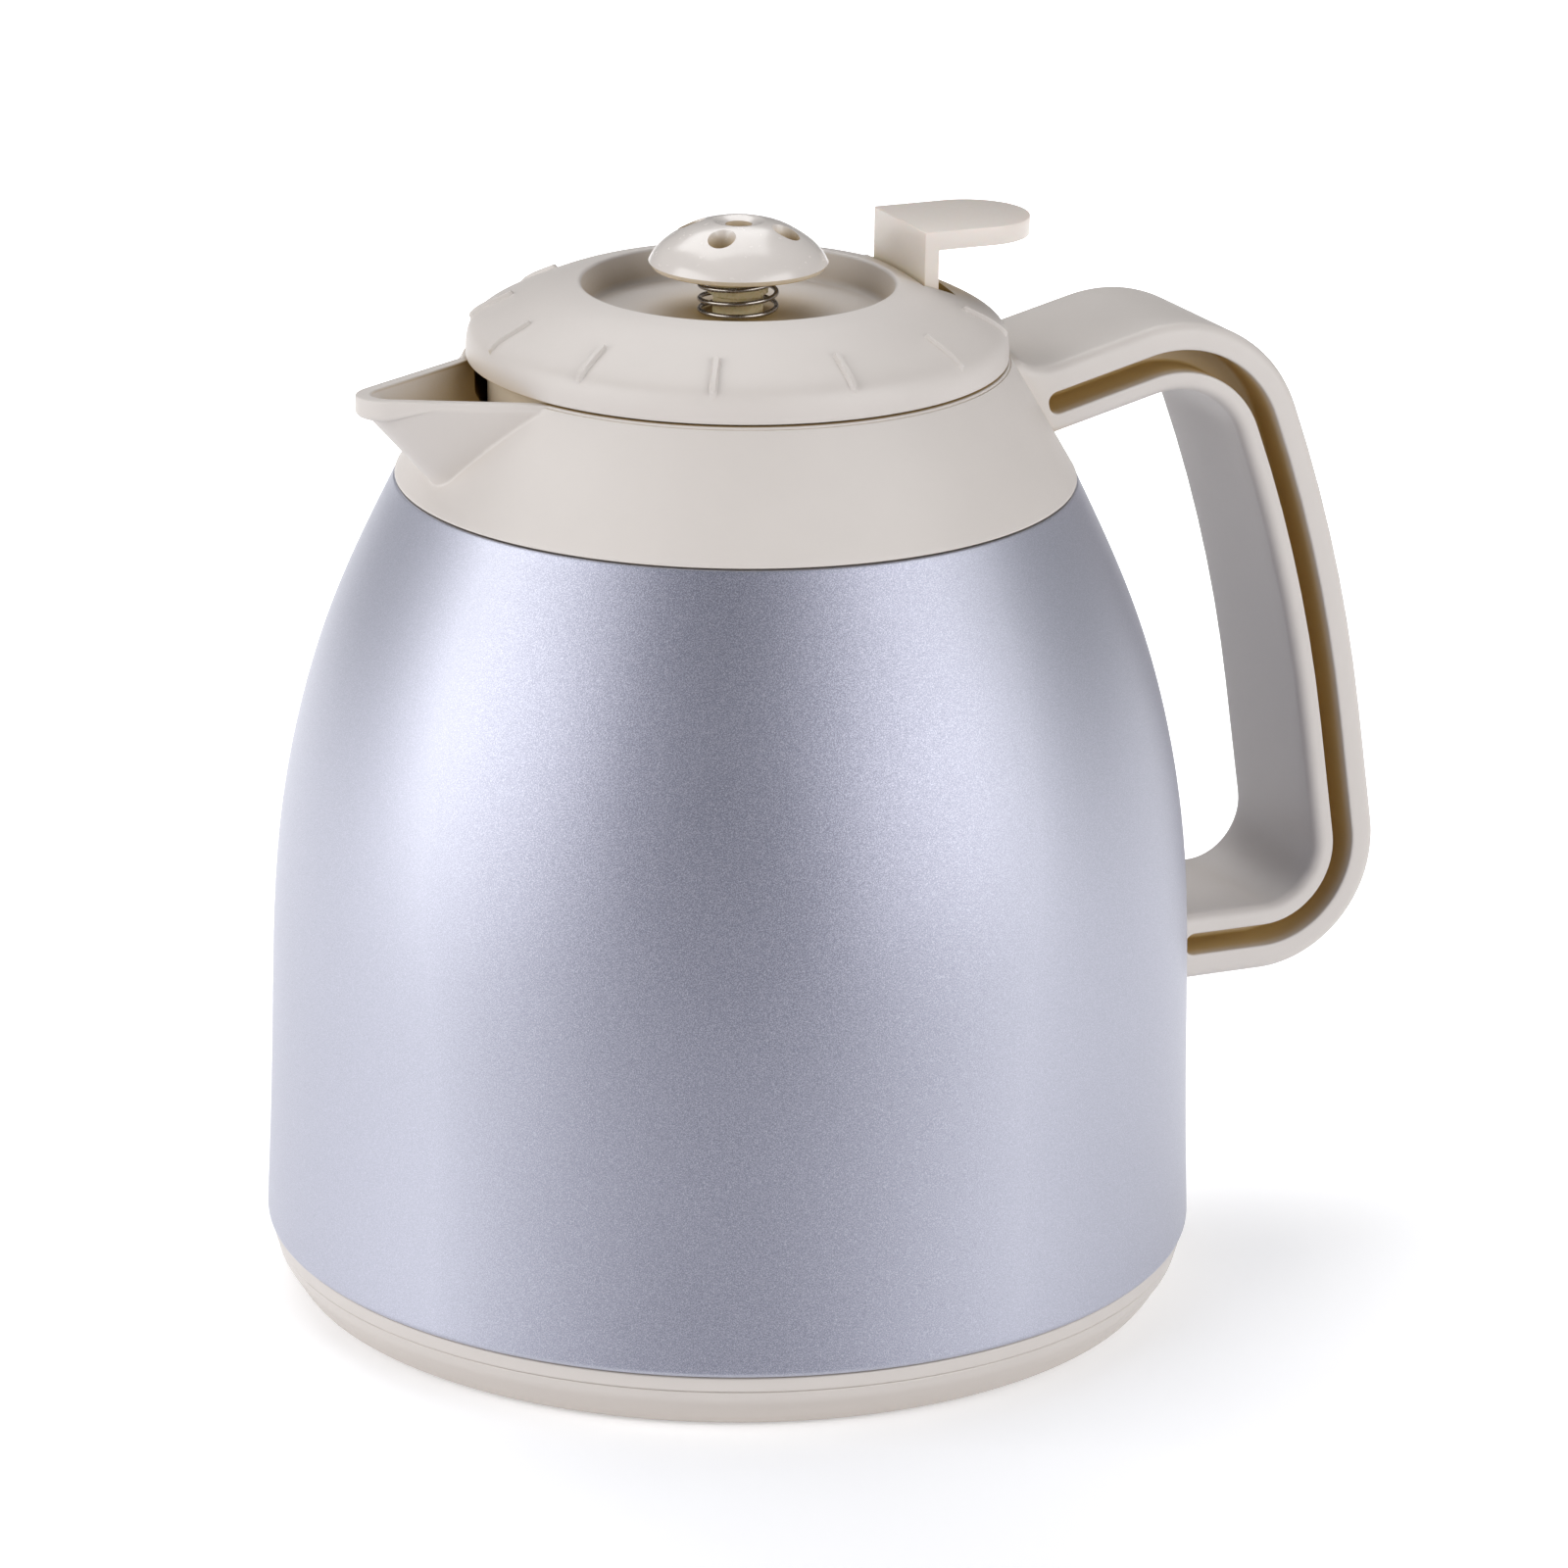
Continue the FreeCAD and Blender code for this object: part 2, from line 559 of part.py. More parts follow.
def make_lid_cover():
    crown = spin(crown_face())
    raised = spin(crown_face(RIB_HEIGHT))
    middle = (RIB_IN_R + RIB_OUT_R) / 2
    bar = box((RIB_IN_R, -RIB_WIDTH / 2, 150), (RIB_OUT_R, RIB_WIDTH / 2, 175))
    bar = bar.fuse([Part.makeCylinder(RIB_WIDTH / 2, 25, Vector(x, 0, 150))
                    for x in (RIB_IN_R, RIB_OUT_R)]).removeSplitter()
    bar = bar.common(box((middle - 4, -2, 157), (middle + 4, 2, 175)))
    ribs = []
    for index in range(RIB_COUNT):
        one = bar.copy()
        one.rotate(Vector(), Vector(0, 0, 1), RIB_START + index * RIB_STEP)
        ribs.append(one.common(raised))
    spigot = ring(PLUG_R - PLUG_WALL - 1.9, PLUG_R - PLUG_WALL, 150.0, 158.9)
    spigot = spigot.cut(box((-60, -18, 149), (-20, 18, 152.5)))
    lugs = []
    for sign in (-1, 1):
        near = LEVER_HALF + LUG_GAP
        y_low, y_high = sorted((sign * near, sign * (near + LUG_T)))
        ear = box((PIVOT_X - 3, y_low, PIVOT_Z), (PIVOT_X + 3, y_high, 157.6))
        lugs.append(ear.fuse(cylinder_y(3.0, PIVOT_X, PIVOT_Z, y_low, y_high)))
    cover = crown.fuse(ribs + [spigot] + lugs)
    wide = LEVER_HALF + LUG_GAP
    cover = cover.cut(box((PLATE_IN_X - 0.4, -wide, 155), (SLOT_END_X, wide, 175)))
    cover = cover.cut(cylinder_y(PIN_R, PIVOT_X, PIVOT_Z, -20, 20))
    for index in range(4):
        drain = box((STEM_R - 0.5, -0.9, 150), (6.9, 0.9, 162))
        drain.rotate(Vector(), Vector(0, 0, 1), 45 + 90 * index)
        cover = cover.cut(drain.common(box((-9, -9, DISH_FLOOR_Z - LID_WALL - 0.01), (9, 9, 162))))
    return cover.removeSplitter()


def make_lid_body():
    floor_top = PLUG_BOTTOM_Z + PLUG_FLOOR_T
    tube = ring(PLUG_R - PLUG_WALL, PLUG_R, PLUG_BOTTOM_Z, 156.0)
    tube = tube.fuse(ring(SEAT_R, PLUG_R - 1.0, PLUG_BOTTOM_Z, floor_top))
    tube = tube.cut(box((-60, -WINDOW_HALF, floor_top + 0.8), (-20, WINDOW_HALF, WINDOW_TOP_Z)))
    return tube.cut(box((-60, WINDOW_STEP_Y, 147.0), (-20, WINDOW_HALF, 160.0))).removeSplitter()


def make_lid_gasket():
    return spin(polygon([
        (31.4, LEDGE_Z + 0.2), (36.5, LEDGE_Z + 0.2), (37.6, LEDGE_Z + 0.5), (38.6, LEDGE_Z + 0.5),
        (38.6, PLUG_BOTTOM_Z - 0.1), (31.4, PLUG_BOTTOM_Z - 0.1),
    ]))


def make_lever_pin():
    reach = LEVER_HALF + LUG_GAP + LUG_T
    return cylinder_y(PIN_R, PIVOT_X, PIVOT_Z, -reach, reach)


def make_pour_lever():
    pad = box((PLATE_IN_X, -LEVER_HALF, PAD_TOP_Z - PAD_T),
              (PAD_END_X - LEVER_HALF, LEVER_HALF, PAD_TOP_Z))
    tip = Part.makeCylinder(LEVER_HALF, PAD_T, Vector(PAD_END_X - LEVER_HALF, 0, PAD_TOP_Z - PAD_T))
    plate = box((PLATE_IN_X, -LEVER_HALF, PIVOT_Z - 1.0), (PLATE_IN_X + PLATE_T, LEVER_HALF, PAD_TOP_Z))
    lever = pad.fuse([tip, plate]).removeSplitter()
    rounded = []
    for edge in lever.Edges:
        limits = edge.BoundBox
        upper = limits.ZMin > PAD_TOP_Z - PAD_T - 0.01
        side = abs(limits.XMin - limits.XMax) > 1.0 or limits.XMax < PLATE_IN_X + 0.01
        if upper and side and limits.ZMax - limits.ZMin < 0.01:
            rounded.append(edge)
    lever = lever.makeFillet(0.6, rounded)
    arms = []
    for sign in (-1, 1):
        y_low, y_high = sorted((sign * TINE_IN, sign * LEVER_HALF))
        arms.append(box((PIVOT_X, y_low, PIVOT_Z - 1.0), (PLATE_IN_X + 1.0, y_high, PIVOT_Z + 3.0)))
        arms.append(cylinder_y(3.0, PIVOT_X, PIVOT_Z, y_low, y_high))
        arms.append(cylinder_y(2.0, 0, PIVOT_Z, y_low, y_high))
    lever = lever.fuse(arms).cut(cylinder_y(PIN_R + PIN_FIT, PIVOT_X, PIVOT_Z, -20, 20))
    return lever.removeSplitter()


# ---------------------------------------------------------------- valve

def make_brew_knob():
    face = curve_face([
        (13.3, 166.8), arc((13.3, 166.8), (13.9, 167.1), KNOB_DOME[0]), spline(KNOB_DOME),
        arc((4.2, KNOB_TOP_Z), (3.2, KNOB_TOP_Z - 0.35), (2.1, KNOB_TOP_Z - 0.6)),
        (2.1, 171.4), (0, 171.4), (0, 170.6), (5.6, 170.6), (5.6, 168.6), (7.2, 168.6),
        (7.6, 170.9), arc((7.6, 170.9), (10.2, 169.6), (12.4, 167.2)), (12.7, 166.8),
    ])
    knob = spin(face)
    for index in range(KNOB_HOLES):
        turn = math.radians(KNOB_HOLE_START + index * 360.0 / KNOB_HOLES)
        place = Vector(KNOB_HOLE_RING * math.cos(turn), KNOB_HOLE_RING * math.sin(turn), 160)
        knob = knob.cut(Part.makeCylinder(KNOB_HOLE_R, 20, place))
    return knob


def make_valve_stem():
    shaft = ring(0, STEM_R, STEM_BOTTOM_Z, STEM_STEP_Z + 0.5)
    corner = STEM_WIDE_FLATS / 2 / math.cos(math.radians(22.5))
    points = []
    for index in range(9):
        turn = math.radians(22.5 + 45 * index)
        points.append(Vector(corner * math.cos(turn), corner * math.sin(turn), STEM_STEP_Z))
    wide = Part.Face(Part.makePolygon(points)).extrude(Vector(0, 0, STEM_TOP_Z - STEM_STEP_Z))
    flange = ring(0, FLANGE_R, FLANGE_TOP_Z - 2.0, FLANGE_TOP_Z)
    flange = flange.makeFillet(0.5, [e for e in flange.Edges if len(e.Vertexes) == 1])
    stem = shaft.fuse([wide, flange])
    return stem.cut(ring(0, 2.0, 163.5, STEM_TOP_Z + 1)).removeSplitter()


def make_valve_disc():
    disc = spin(polygon([
        (STEM_R, 131.5), (6.5, 131.5), (8.0, 134.0), (15.0, STEM_BOTTOM_Z), (15.0, 136.0), (11.2, 136.0),
        (11.2, 138.0), (9.6, 138.0), (9.6, 136.0), (STEM_R, 136.0),
    ]))
    plug = ring(0, STEM_R, 131.5, STEM_BOTTOM_Z)
    return disc.fuse(plug).removeSplitter()


def make_valve_seal():
    return spin(polygon([
        (11.2, 136.0), (15.6, 136.0), (15.6, 137.6), (14.8, PLUG_BOTTOM_Z - 0.1),
        (13.6, PLUG_BOTTOM_Z - 0.1), (11.2, 137.8),
    ]))


def make_knob_spring():
    low = DISH_FLOOR_Z + SPRING_WIRE_R + 0.02
    height = SPRING_TOP_Z - SPRING_WIRE_R - 0.02 - low
    helix = Part.makeHelix(SPRING_PITCH, height, SPRING_R)
    wire = Part.Wire([Part.makeCircle(SPRING_WIRE_R, Vector(SPRING_R, 0, 0), Vector(0, 1, 0))])
    coil = Part.Wire(helix).makePipeShell([wire], True, True)
    coil.translate(rz(0, low))
    return coil


# ---------------------------------------------------------------- output

def turned(shape):
    shape = shape.copy()
    shape.rotate(Vector(), Vector(0, 0, 1), LID_TURN)
    return shape


def main():
    os.makedirs("parts", exist_ok=True)
    fixed = {
        "outer_shell": make_outer_shell,
        "collar": make_collar,
        "handle": make_handle,
        "handle_bracket": make_handle_bracket,
        "handle_screws": lambda: Part.makeCompound([handle_screw(0), handle_screw(1)]),
        "base_ring": make_base_ring,
        "base_cap": make_base_cap,
        "foot_ring": make_foot_ring,
        "liner_outer": make_liner_outer,
        "liner_inner": make_liner_inner,
        "liner_spacers": make_liner_spacers,
        "liner_cushion": make_liner_cushion,
        "neck_gasket": make_neck_gasket,
    }
    with_lid = {
        "lid_gasket": make_lid_gasket,
        "lid_cover": make_lid_cover,
        "lid_body": make_lid_body,
        "lever_pin": make_lever_pin,
        "pour_lever": make_pour_lever,
        "brew_knob": make_brew_knob,
        "valve_stem": make_valve_stem,
        "valve_disc": make_valve_disc,
        "valve_seal": make_valve_seal,
        "knob_spring": make_knob_spring,
    }
    for name, build in fixed.items():
        save(name, build())
    for name, build in with_lid.items():
        save(name, turned(build()))


def save(name, shape):
    shape.exportStep("parts/" + name + ".step")
    limits = shape.BoundBox
    print("%-15s solids %d valid %s volume %9.1f  z %.2f to %.2f" % (
        name, len(shape.Solids), shape.isValid(), shape.Volume, limits.ZMin, limits.ZMax))


main()
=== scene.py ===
import json
import math

import bmesh
import bpy
import numpy as np
from mathutils import Matrix, Vector


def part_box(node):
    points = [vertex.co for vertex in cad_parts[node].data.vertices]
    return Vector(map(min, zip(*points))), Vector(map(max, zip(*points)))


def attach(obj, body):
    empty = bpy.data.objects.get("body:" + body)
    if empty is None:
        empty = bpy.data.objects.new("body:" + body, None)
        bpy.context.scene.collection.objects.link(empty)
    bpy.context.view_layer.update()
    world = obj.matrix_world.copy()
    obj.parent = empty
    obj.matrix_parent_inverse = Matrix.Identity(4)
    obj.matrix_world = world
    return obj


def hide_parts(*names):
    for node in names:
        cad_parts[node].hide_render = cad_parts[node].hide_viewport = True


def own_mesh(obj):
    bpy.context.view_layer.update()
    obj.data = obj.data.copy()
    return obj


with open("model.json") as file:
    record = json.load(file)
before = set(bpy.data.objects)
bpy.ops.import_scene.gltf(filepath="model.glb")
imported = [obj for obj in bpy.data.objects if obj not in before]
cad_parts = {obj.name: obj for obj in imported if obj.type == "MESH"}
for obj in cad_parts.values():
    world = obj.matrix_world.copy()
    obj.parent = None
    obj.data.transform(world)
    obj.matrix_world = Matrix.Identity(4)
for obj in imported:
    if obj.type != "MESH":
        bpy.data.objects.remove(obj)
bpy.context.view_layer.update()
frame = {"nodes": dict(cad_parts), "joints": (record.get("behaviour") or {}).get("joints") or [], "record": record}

# Insulated coffee jug. The shapes are worked out in millimetres in the CAD frame: +Z up, the
# handle on +X, the spout on -X. Blender's metres come in only when a mesh is made.
MM = 0.001


def box_mm(node):
    """Lowest and highest corner of a CAD node, in millimetres."""
    low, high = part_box(node)
    return low / MM, high / MM


shell_low, shell_high = box_mm("outer_shell")
collar_low, collar_high = box_mm("collar")
lid_high = box_mm("lid_cover")[1]
plug_low, plug_high = box_mm("lid_body")
knob_low, knob_high = box_mm("brew_knob")
stem_low, stem_high = box_mm("valve_stem")
spring_low, spring_high = box_mm("knob_spring")
lever_high = box_mm("pour_lever")[1]
foot_high = box_mm("foot_ring")[1]
cap_low, cap_high = box_mm("base_cap")
handle_high = box_mm("handle")[1]

# Body
SHELL_WALL = 0.8
SHELL_FOOT_Z = 11.0
SHELL_FOOT_ROUND = 0.9
SHELL_TOP_ROUND = 0.4
SHELL_FLANGE_R = 51.5
SHELL_HEM_R = 71.2
SHELL_CURVE = [(shell_high.x, SHELL_FOOT_Z), (74.2, 32.5), (73.8, 51.2), (72.6, 73.8), (69.5, 92.5),
               (63.9, 111.2), (54.45, shell_high.z - 0.9)]

# Base
BASE_R = 74.0
BASE_SPLIT_Z = 7.35
BASE_LIP_Z = 9.7
THREAD_WALL_Z = 17.0
FOOT_GROOVE_COUNT = 3
FOOT_GROOVE_STEP = 1.4

# Collar and spout
COLLAR_LOW_Z = 133.5
COLLAR_LOW_R = collar_high.x
COLLAR_EDGE_Z = COLLAR_LOW_Z + 0.35
COLLAR_TOP_Z = collar_high.z
COLLAR_TOP_R = 42.9
RIM_Z = COLLAR_TOP_Z - 0.42
RIM_OUT_ROUND = 0.25
RIM_IN_ROUND = 0.4
NECK_R = 39.8
NECK_TOP_R = 41.4
NECK_STEP_Z = 144.5
NECK_STEP_HEIGHT = 3.0
NECK_WALL = 2.0
LEDGE_Z = 137.0
LEDGE_T = 2.6
LEDGE_IN_R = 30.5
HOLLOW_TOP_Z = 149.5
SKIRT_IN_R = 49.4
SKIRT_OUT_R = 51.2
SPOUT_TIP_X = collar_low.x + 0.6
KEEL_TIP_X = collar_low.x - 0.5
SPOUT_KEEL = math.radians(48.0)
SPOUT_HALF = math.radians(35.7)
SPOUT_NOSE_R = 5.7
SPOUT_WALL = 1.6
SPOUT_FLOOR_Z = 141.0
LIP_HEIGHT = 3.3
LIP_START_X = -62.0
LIP_SLOPE = math.tan(math.radians(17.0))
BLEND = 0.2

# The spout's own turns away from -X: where its outside, its channel and its floor end
SPOUT_TURN = math.radians(80)
CHANNEL_TURN = math.radians(70)
FLOOR_TURN = math.radians(62)

# Handle: centre line corners (x, z) and the bend at each, then the section
HANDLE_LINE = [(44.0, 141.4), (82.6, 150.5), (98.3, 110.1), (108.2, 46.9), (72.0, 47.5)]
HANDLE_BENDS = [18.2, 250.0, 14.3]
UPPER_ARM_Z = 120
LOWER_ARM_Z = 60
UPPER_ROOT_X = 62
HANDLE_OUT = 6.1
HANDLE_IN = 5.0
HANDLE_HALF = handle_high.y
HANDLE_EDGE_R = 1.8
GROOVE_HALF = 1.8
GROOVE_LIP_R = 0.35
GROOVE_ROOT_R = 0.6
WEB_HALF = 6.0
GROOVE_TOP_X = 50.1
GROOVE_END_X = 78.2
ROOT_FLARE = 2.8
ROOT_FLARE_LENGTH = 6.5
ROOT_SINK = 0.05

# Lid, built with the lever along +X and then turned with it
lever_axis = next(j for j in frame["joints"] if j["name"] == "lever_press")["axis"]
LID_TURN = math.atan2(-lever_axis[0], lever_axis[1])
LID_EDGE_Z = 152.75
LID_R = 42.7
CROWN = [(LID_R - 0.05, 155.0), (42.0, 157.2), (40.3, 158.7), (37.4, 160.2), (32.8, 162.3),
         (29.1, 163.6)]
DISH_RIM_R = 24.7
DISH_FLOOR_R = 23.8
DISH_FLOOR_Z = 159.3
RIB_COUNT = 11
RIB_STEP = math.radians(30.0)
RIB_START = math.radians(31.5)
RIB_IN_R = 35.9
RIB_OUT_R = 41.6
RIB_HALF = 0.55
RIB_SIDE = 0.3
RIB_HEIGHT = 0.65
PLUG_R = plug_high.x
PLUG_WALL = 2.2
PLUG_BORE_R = 13.0
WINDOW_LOW_TOP_Z = 149.5
WINDOW_NEAR_Y = -13.0
WINDOW_STEP_Y = 2.7
WINDOW_FAR_Y = 31.0

# Knob, stem and spring
KNOB_R = 14.1
KNOB_HOLE_R = 2.2
KNOB_HOLE_RING = 7.8
KNOB_HOLE_START = math.radians(47.0)
KNOB_HOLE_COUNT = 4
KNOB_DIMPLE_R = 4.2
KNOB_CEILING_Z = 170.6
STEM_R = 4.0
STEM_WIDE = 8.9
STEM_STEP_Z = 162.5
STEM_FLANGE_R = 10.4
STEM_FLANGE_LOW_Z = 146.3
STEM_FLANGE_TOP_Z = 148.3
SPRING_WIRE_R = 0.38
SPRING_R = 6.05
SPRING_TURNS = 4.75
SPRING_DEAD_TURNS = 0.7
SPRING_DEAD_RISE = 0.55

# Thumb lever
PIVOT_X = -22.0
PIVOT_Z = 150.5
PIVOT_HOLE_R = 1.33
PIVOT_EYE_R = 3.0
PLATE_IN_X = 27.7
PLATE_T = 2.5
PAD_T = 3.0
PAD_END_X = 49.5
LEVER_HALF = 9.7
LEVER_ROUND = 0.75
TINE_IN = 6.7
TINE_HEIGHT = 4.0
TINE_BUMP_R = 2.0
SLOT_END_X = 33.0
SLOT_GAP = 0.4
EAR_T = 2.5


# ------------------------------------------------------------------ curves

def smooth_curve(points, count):
    """Natural cubic curve through (r, z) points, spaced by chord length."""
    points = np.array(points, float)
    knots = np.r_[0, np.cumsum(np.linalg.norm(np.diff(points, axis=0), axis=1))]
    step = np.diff(knots)
    last = len(knots) - 1
    matrix = np.eye(last + 1)
    right = np.zeros((last + 1, 2))
    for i in range(1, last):
        matrix[i, i - 1:i + 2] = step[i - 1], 2 * (step[i - 1] + step[i]), step[i]
        slope_ahead = (points[i + 1] - points[i]) / step[i]
        right[i] = 6 * (slope_ahead - (points[i] - points[i - 1]) / step[i - 1])
    bend = np.linalg.solve(matrix, right)
    at = np.linspace(0, knots[-1], count)
    k = np.clip(np.searchsorted(knots, at, side="right") - 1, 0, last - 1)
    ahead, past, h = (knots[k + 1] - at)[:, None], (at - knots[k])[:, None], step[k][:, None]
    return ((bend[k] * ahead ** 3 + bend[k + 1] * past ** 3) / (6 * h)
            + (points[k] / h - bend[k] * h / 6) * ahead
            + (points[k + 1] / h - bend[k + 1] * h / 6) * past)


def rounded(corners, steps=6):
    """Closed outline through (a, b, radius) corners, each rounded by its radius."""
    outline = []
    for i, (a, b, radius) in enumerate(corners):
        here = np.array((a, b), float)
        if radius <= 0:
            outline.append(here)
            continue
        back = np.array(corners[i - 1][:2]) - here
        ahead = np.array(corners[(i + 1) % len(corners)][:2]) - here
        back, ahead = back / np.linalg.norm(back), ahead / np.linalg.norm(ahead)
        half = math.acos(max(-1.0, min(1.0, float(back @ ahead)))) / 2
        centre = here + (back + ahead) / np.linalg.norm(back + ahead) * radius / math.sin(half)
        start = here + back * radius / math.tan(half) - centre
        end = here + ahead * radius / math.tan(half) - centre
        first = math.atan2(start[1], start[0])
        turn = (math.atan2(end[1], end[0]) - first + math.pi) % (2 * math.pi) - math.pi
        for share in np.linspace(0, 1, steps + 1):
            angle = first + turn * share
            outline.append(centre + radius * np.array((math.cos(angle), math.sin(angle))))
    return np.array(outline)


def normals_of(outline):
    """Unit normals to the right of an open run of (r, z) points."""
    along = np.gradient(np.array(outline, float), axis=0)
    along /= np.linalg.norm(along, axis=1)[:, None]
    return np.column_stack([along[:, 1], -along[:, 0]])


def soft_step(value, low, high):
    """Rises smoothly from 0 at low to 1 at high."""
    share = np.clip((value - low) / (high - low), 0, 1)
    return share * share * (3 - 2 * share)


# ------------------------------------------------------------------ meshes

def grid_faces(rows, columns, wrap_rows=True):
    """Quads over rows of points, each row closed on itself."""
    faces = []
    for i in range(rows if wrap_rows else rows - 1):
        near, far = i * columns, (i + 1) % rows * columns
        for j in range(columns):
            ahead = (j + 1) % columns
            faces.append((near + j, far + j, far + ahead, near + ahead))
    return faces


def make_object(name, vertices, faces, sharp=35.0):
    """Object from points in millimetres, with edges sharper than an angle kept sharp."""
    mesh = bpy.data.meshes.new(name)
    mesh.from_pydata((np.asarray(vertices, float).reshape(-1, 3) * MM).tolist(), [], faces)
    obj = bpy.data.objects.new(name, mesh)
    bpy.context.scene.collection.objects.link(obj)
    clean(obj)
    shade(obj, sharp)
    return obj


def clean(obj):
    """Merges doubled points, drops slivers and turns all faces outward."""
    bm = bmesh.new()
    bm.from_mesh(obj.data)
    bmesh.ops.remove_doubles(bm, verts=bm.verts, dist=2e-7)
    bmesh.ops.dissolve_degenerate(bm, edges=bm.edges, dist=1e-7)
    bmesh.ops.recalc_face_normals(bm, faces=bm.faces)
    bm.to_mesh(obj.data)
    bm.free()


def shade(obj, sharp):
    """Smooth shading, broken where the surface turns by more than sharp degrees."""
    obj.data.shade_smooth()
    obj.data.set_sharp_from_angle(angle=math.radians(sharp))


def lathe(name, profile, segments=256):
    """Closed (r, z) profile turned about Z."""
    profile = np.asarray(profile, float)
    return turned_rings(name, [(2 * math.pi * i / segments, profile) for i in range(segments)])


def turned_rings(name, rings, sharp=35.0):
    """Mesh from (angle, closed profile) pairs that go once round the Z axis."""
    points = [np.column_stack([p[:, 0] * math.cos(a), p[:, 0] * math.sin(a), p[:, 1]])
              for a, p in rings]
    return make_object(name, points, grid_faces(len(rings), len(rings[0][1])), sharp)


def prism(name, outline, low, high, axis="z"):
    """Outline of (x, y) points pulled from low to high along z, or of (x, z) points along y."""
    count = len(outline)
    points = []
    for level in (low, high):
        for a, b in outline:
            points.append((a, b, level) if axis == "z" else (a, level, b))
    sides = [(i, (i + 1) % count, (i + 1) % count + count, i + count) for i in range(count)]
    ends = [tuple(range(count)), tuple(range(count, 2 * count))]
    return make_object(name, points, sides + ends)


def block(name, low, high):
    """Box between two corners."""
    outline = [(low[0], low[1]), (high[0], low[1]), (high[0], high[1]), (low[0], high[1])]
    return prism(name, outline, low[2], high[2])


def circle(x, y, radius, count=48):
    """Points round (x, y)."""
    turns = [2 * math.pi * i / count for i in range(count)]
    return [(x + radius * math.cos(t), y + radius * math.sin(t)) for t in turns]


def apply_modifiers(obj):
    """Gives obj the mesh that its modifiers make, and drops them."""
    graph = bpy.context.evaluated_depsgraph_get()
    graph.update()
    mesh = bpy.data.meshes.new_from_object(obj.evaluated_get(graph))
    obj.modifiers.clear()
    obj.data = mesh


def combine(obj, tools, operation):
    """Joins to obj, or cuts from it, each tool, and removes the tools."""
    for tool in tools:
        step = obj.modifiers.new("combine", "BOOLEAN")
        step.operation = operation
        step.solver = "EXACT"
        step.object = tool
    bpy.context.view_layer.update()
    apply_modifiers(obj)
    for tool in tools:
        bpy.data.objects.remove(tool)
    clean(obj)


def round_edges(obj, width, segments=3, angle=35.0, wanted=None):
    """Rounds the edges that turn by more than an angle, or just those that wanted picks."""
    bm = bmesh.new()
    bm.from_mesh(obj.data)
    limit = math.radians(angle)
    picked = []
    for edge in bm.edges:
        if len(edge.link_faces) == 2 and edge.calc_face_angle() > limit:
            middle = (edge.verts[0].co + edge.verts[1].co) / 2 / MM
            if wanted is None or wanted(middle):
                picked.append(edge)
    bmesh.ops.bevel(bm, geom=picked, offset=width * MM, offset_type="OFFSET", segments=segments,
                    profile=0.5, affect="EDGES", clamp_overlap=True)
    bmesh.ops.remove_doubles(bm, verts=bm.verts, dist=2e-7)
    bm.to_mesh(obj.data)
    bm.free()


def with_lid(obj):
    """Turns a piece built with the lever along +X to where the lid stands."""
    obj.data.transform(Matrix.Rotation(LID_TURN, 4, "Z"))
    return obj


def place(obj, body, nodes, slot, finish=None):
    """Ties a piece to its CAD body, nodes and slot, in the slot's finish or another one."""
    obj.data.materials.clear()
    obj.data.materials.append(materials[finish or slot])
    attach(obj, body)
    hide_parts(*nodes)


# ------------------------------------------------------------------ materials

IVORY = (0.490, 0.456, 0.433)
# The ivory and honey gap colours are painted shade: a darker, warmer colour laid into gaps and hollows where shade
# and bounce light fall.
IVORY_GAP_SHADE = (0.44, 0.29, 0.09)
LID_IVORY = (0.480, 0.446, 0.424)
HONEY_GAP_SHADE = (0.5, 0.4, 0.2)
PEARL_FACING = (0.170, 0.175, 0.228)
PEARL_TURNED = (0.39, 0.40, 0.47)
PEARL_CLOUD = (0.5, 0.5, 0.6)
PEARL_FLAKE = (0.8, 0.8, 0.9)
MOTTLE_GRAIN = 14.0
GAP_REACH = 22.0


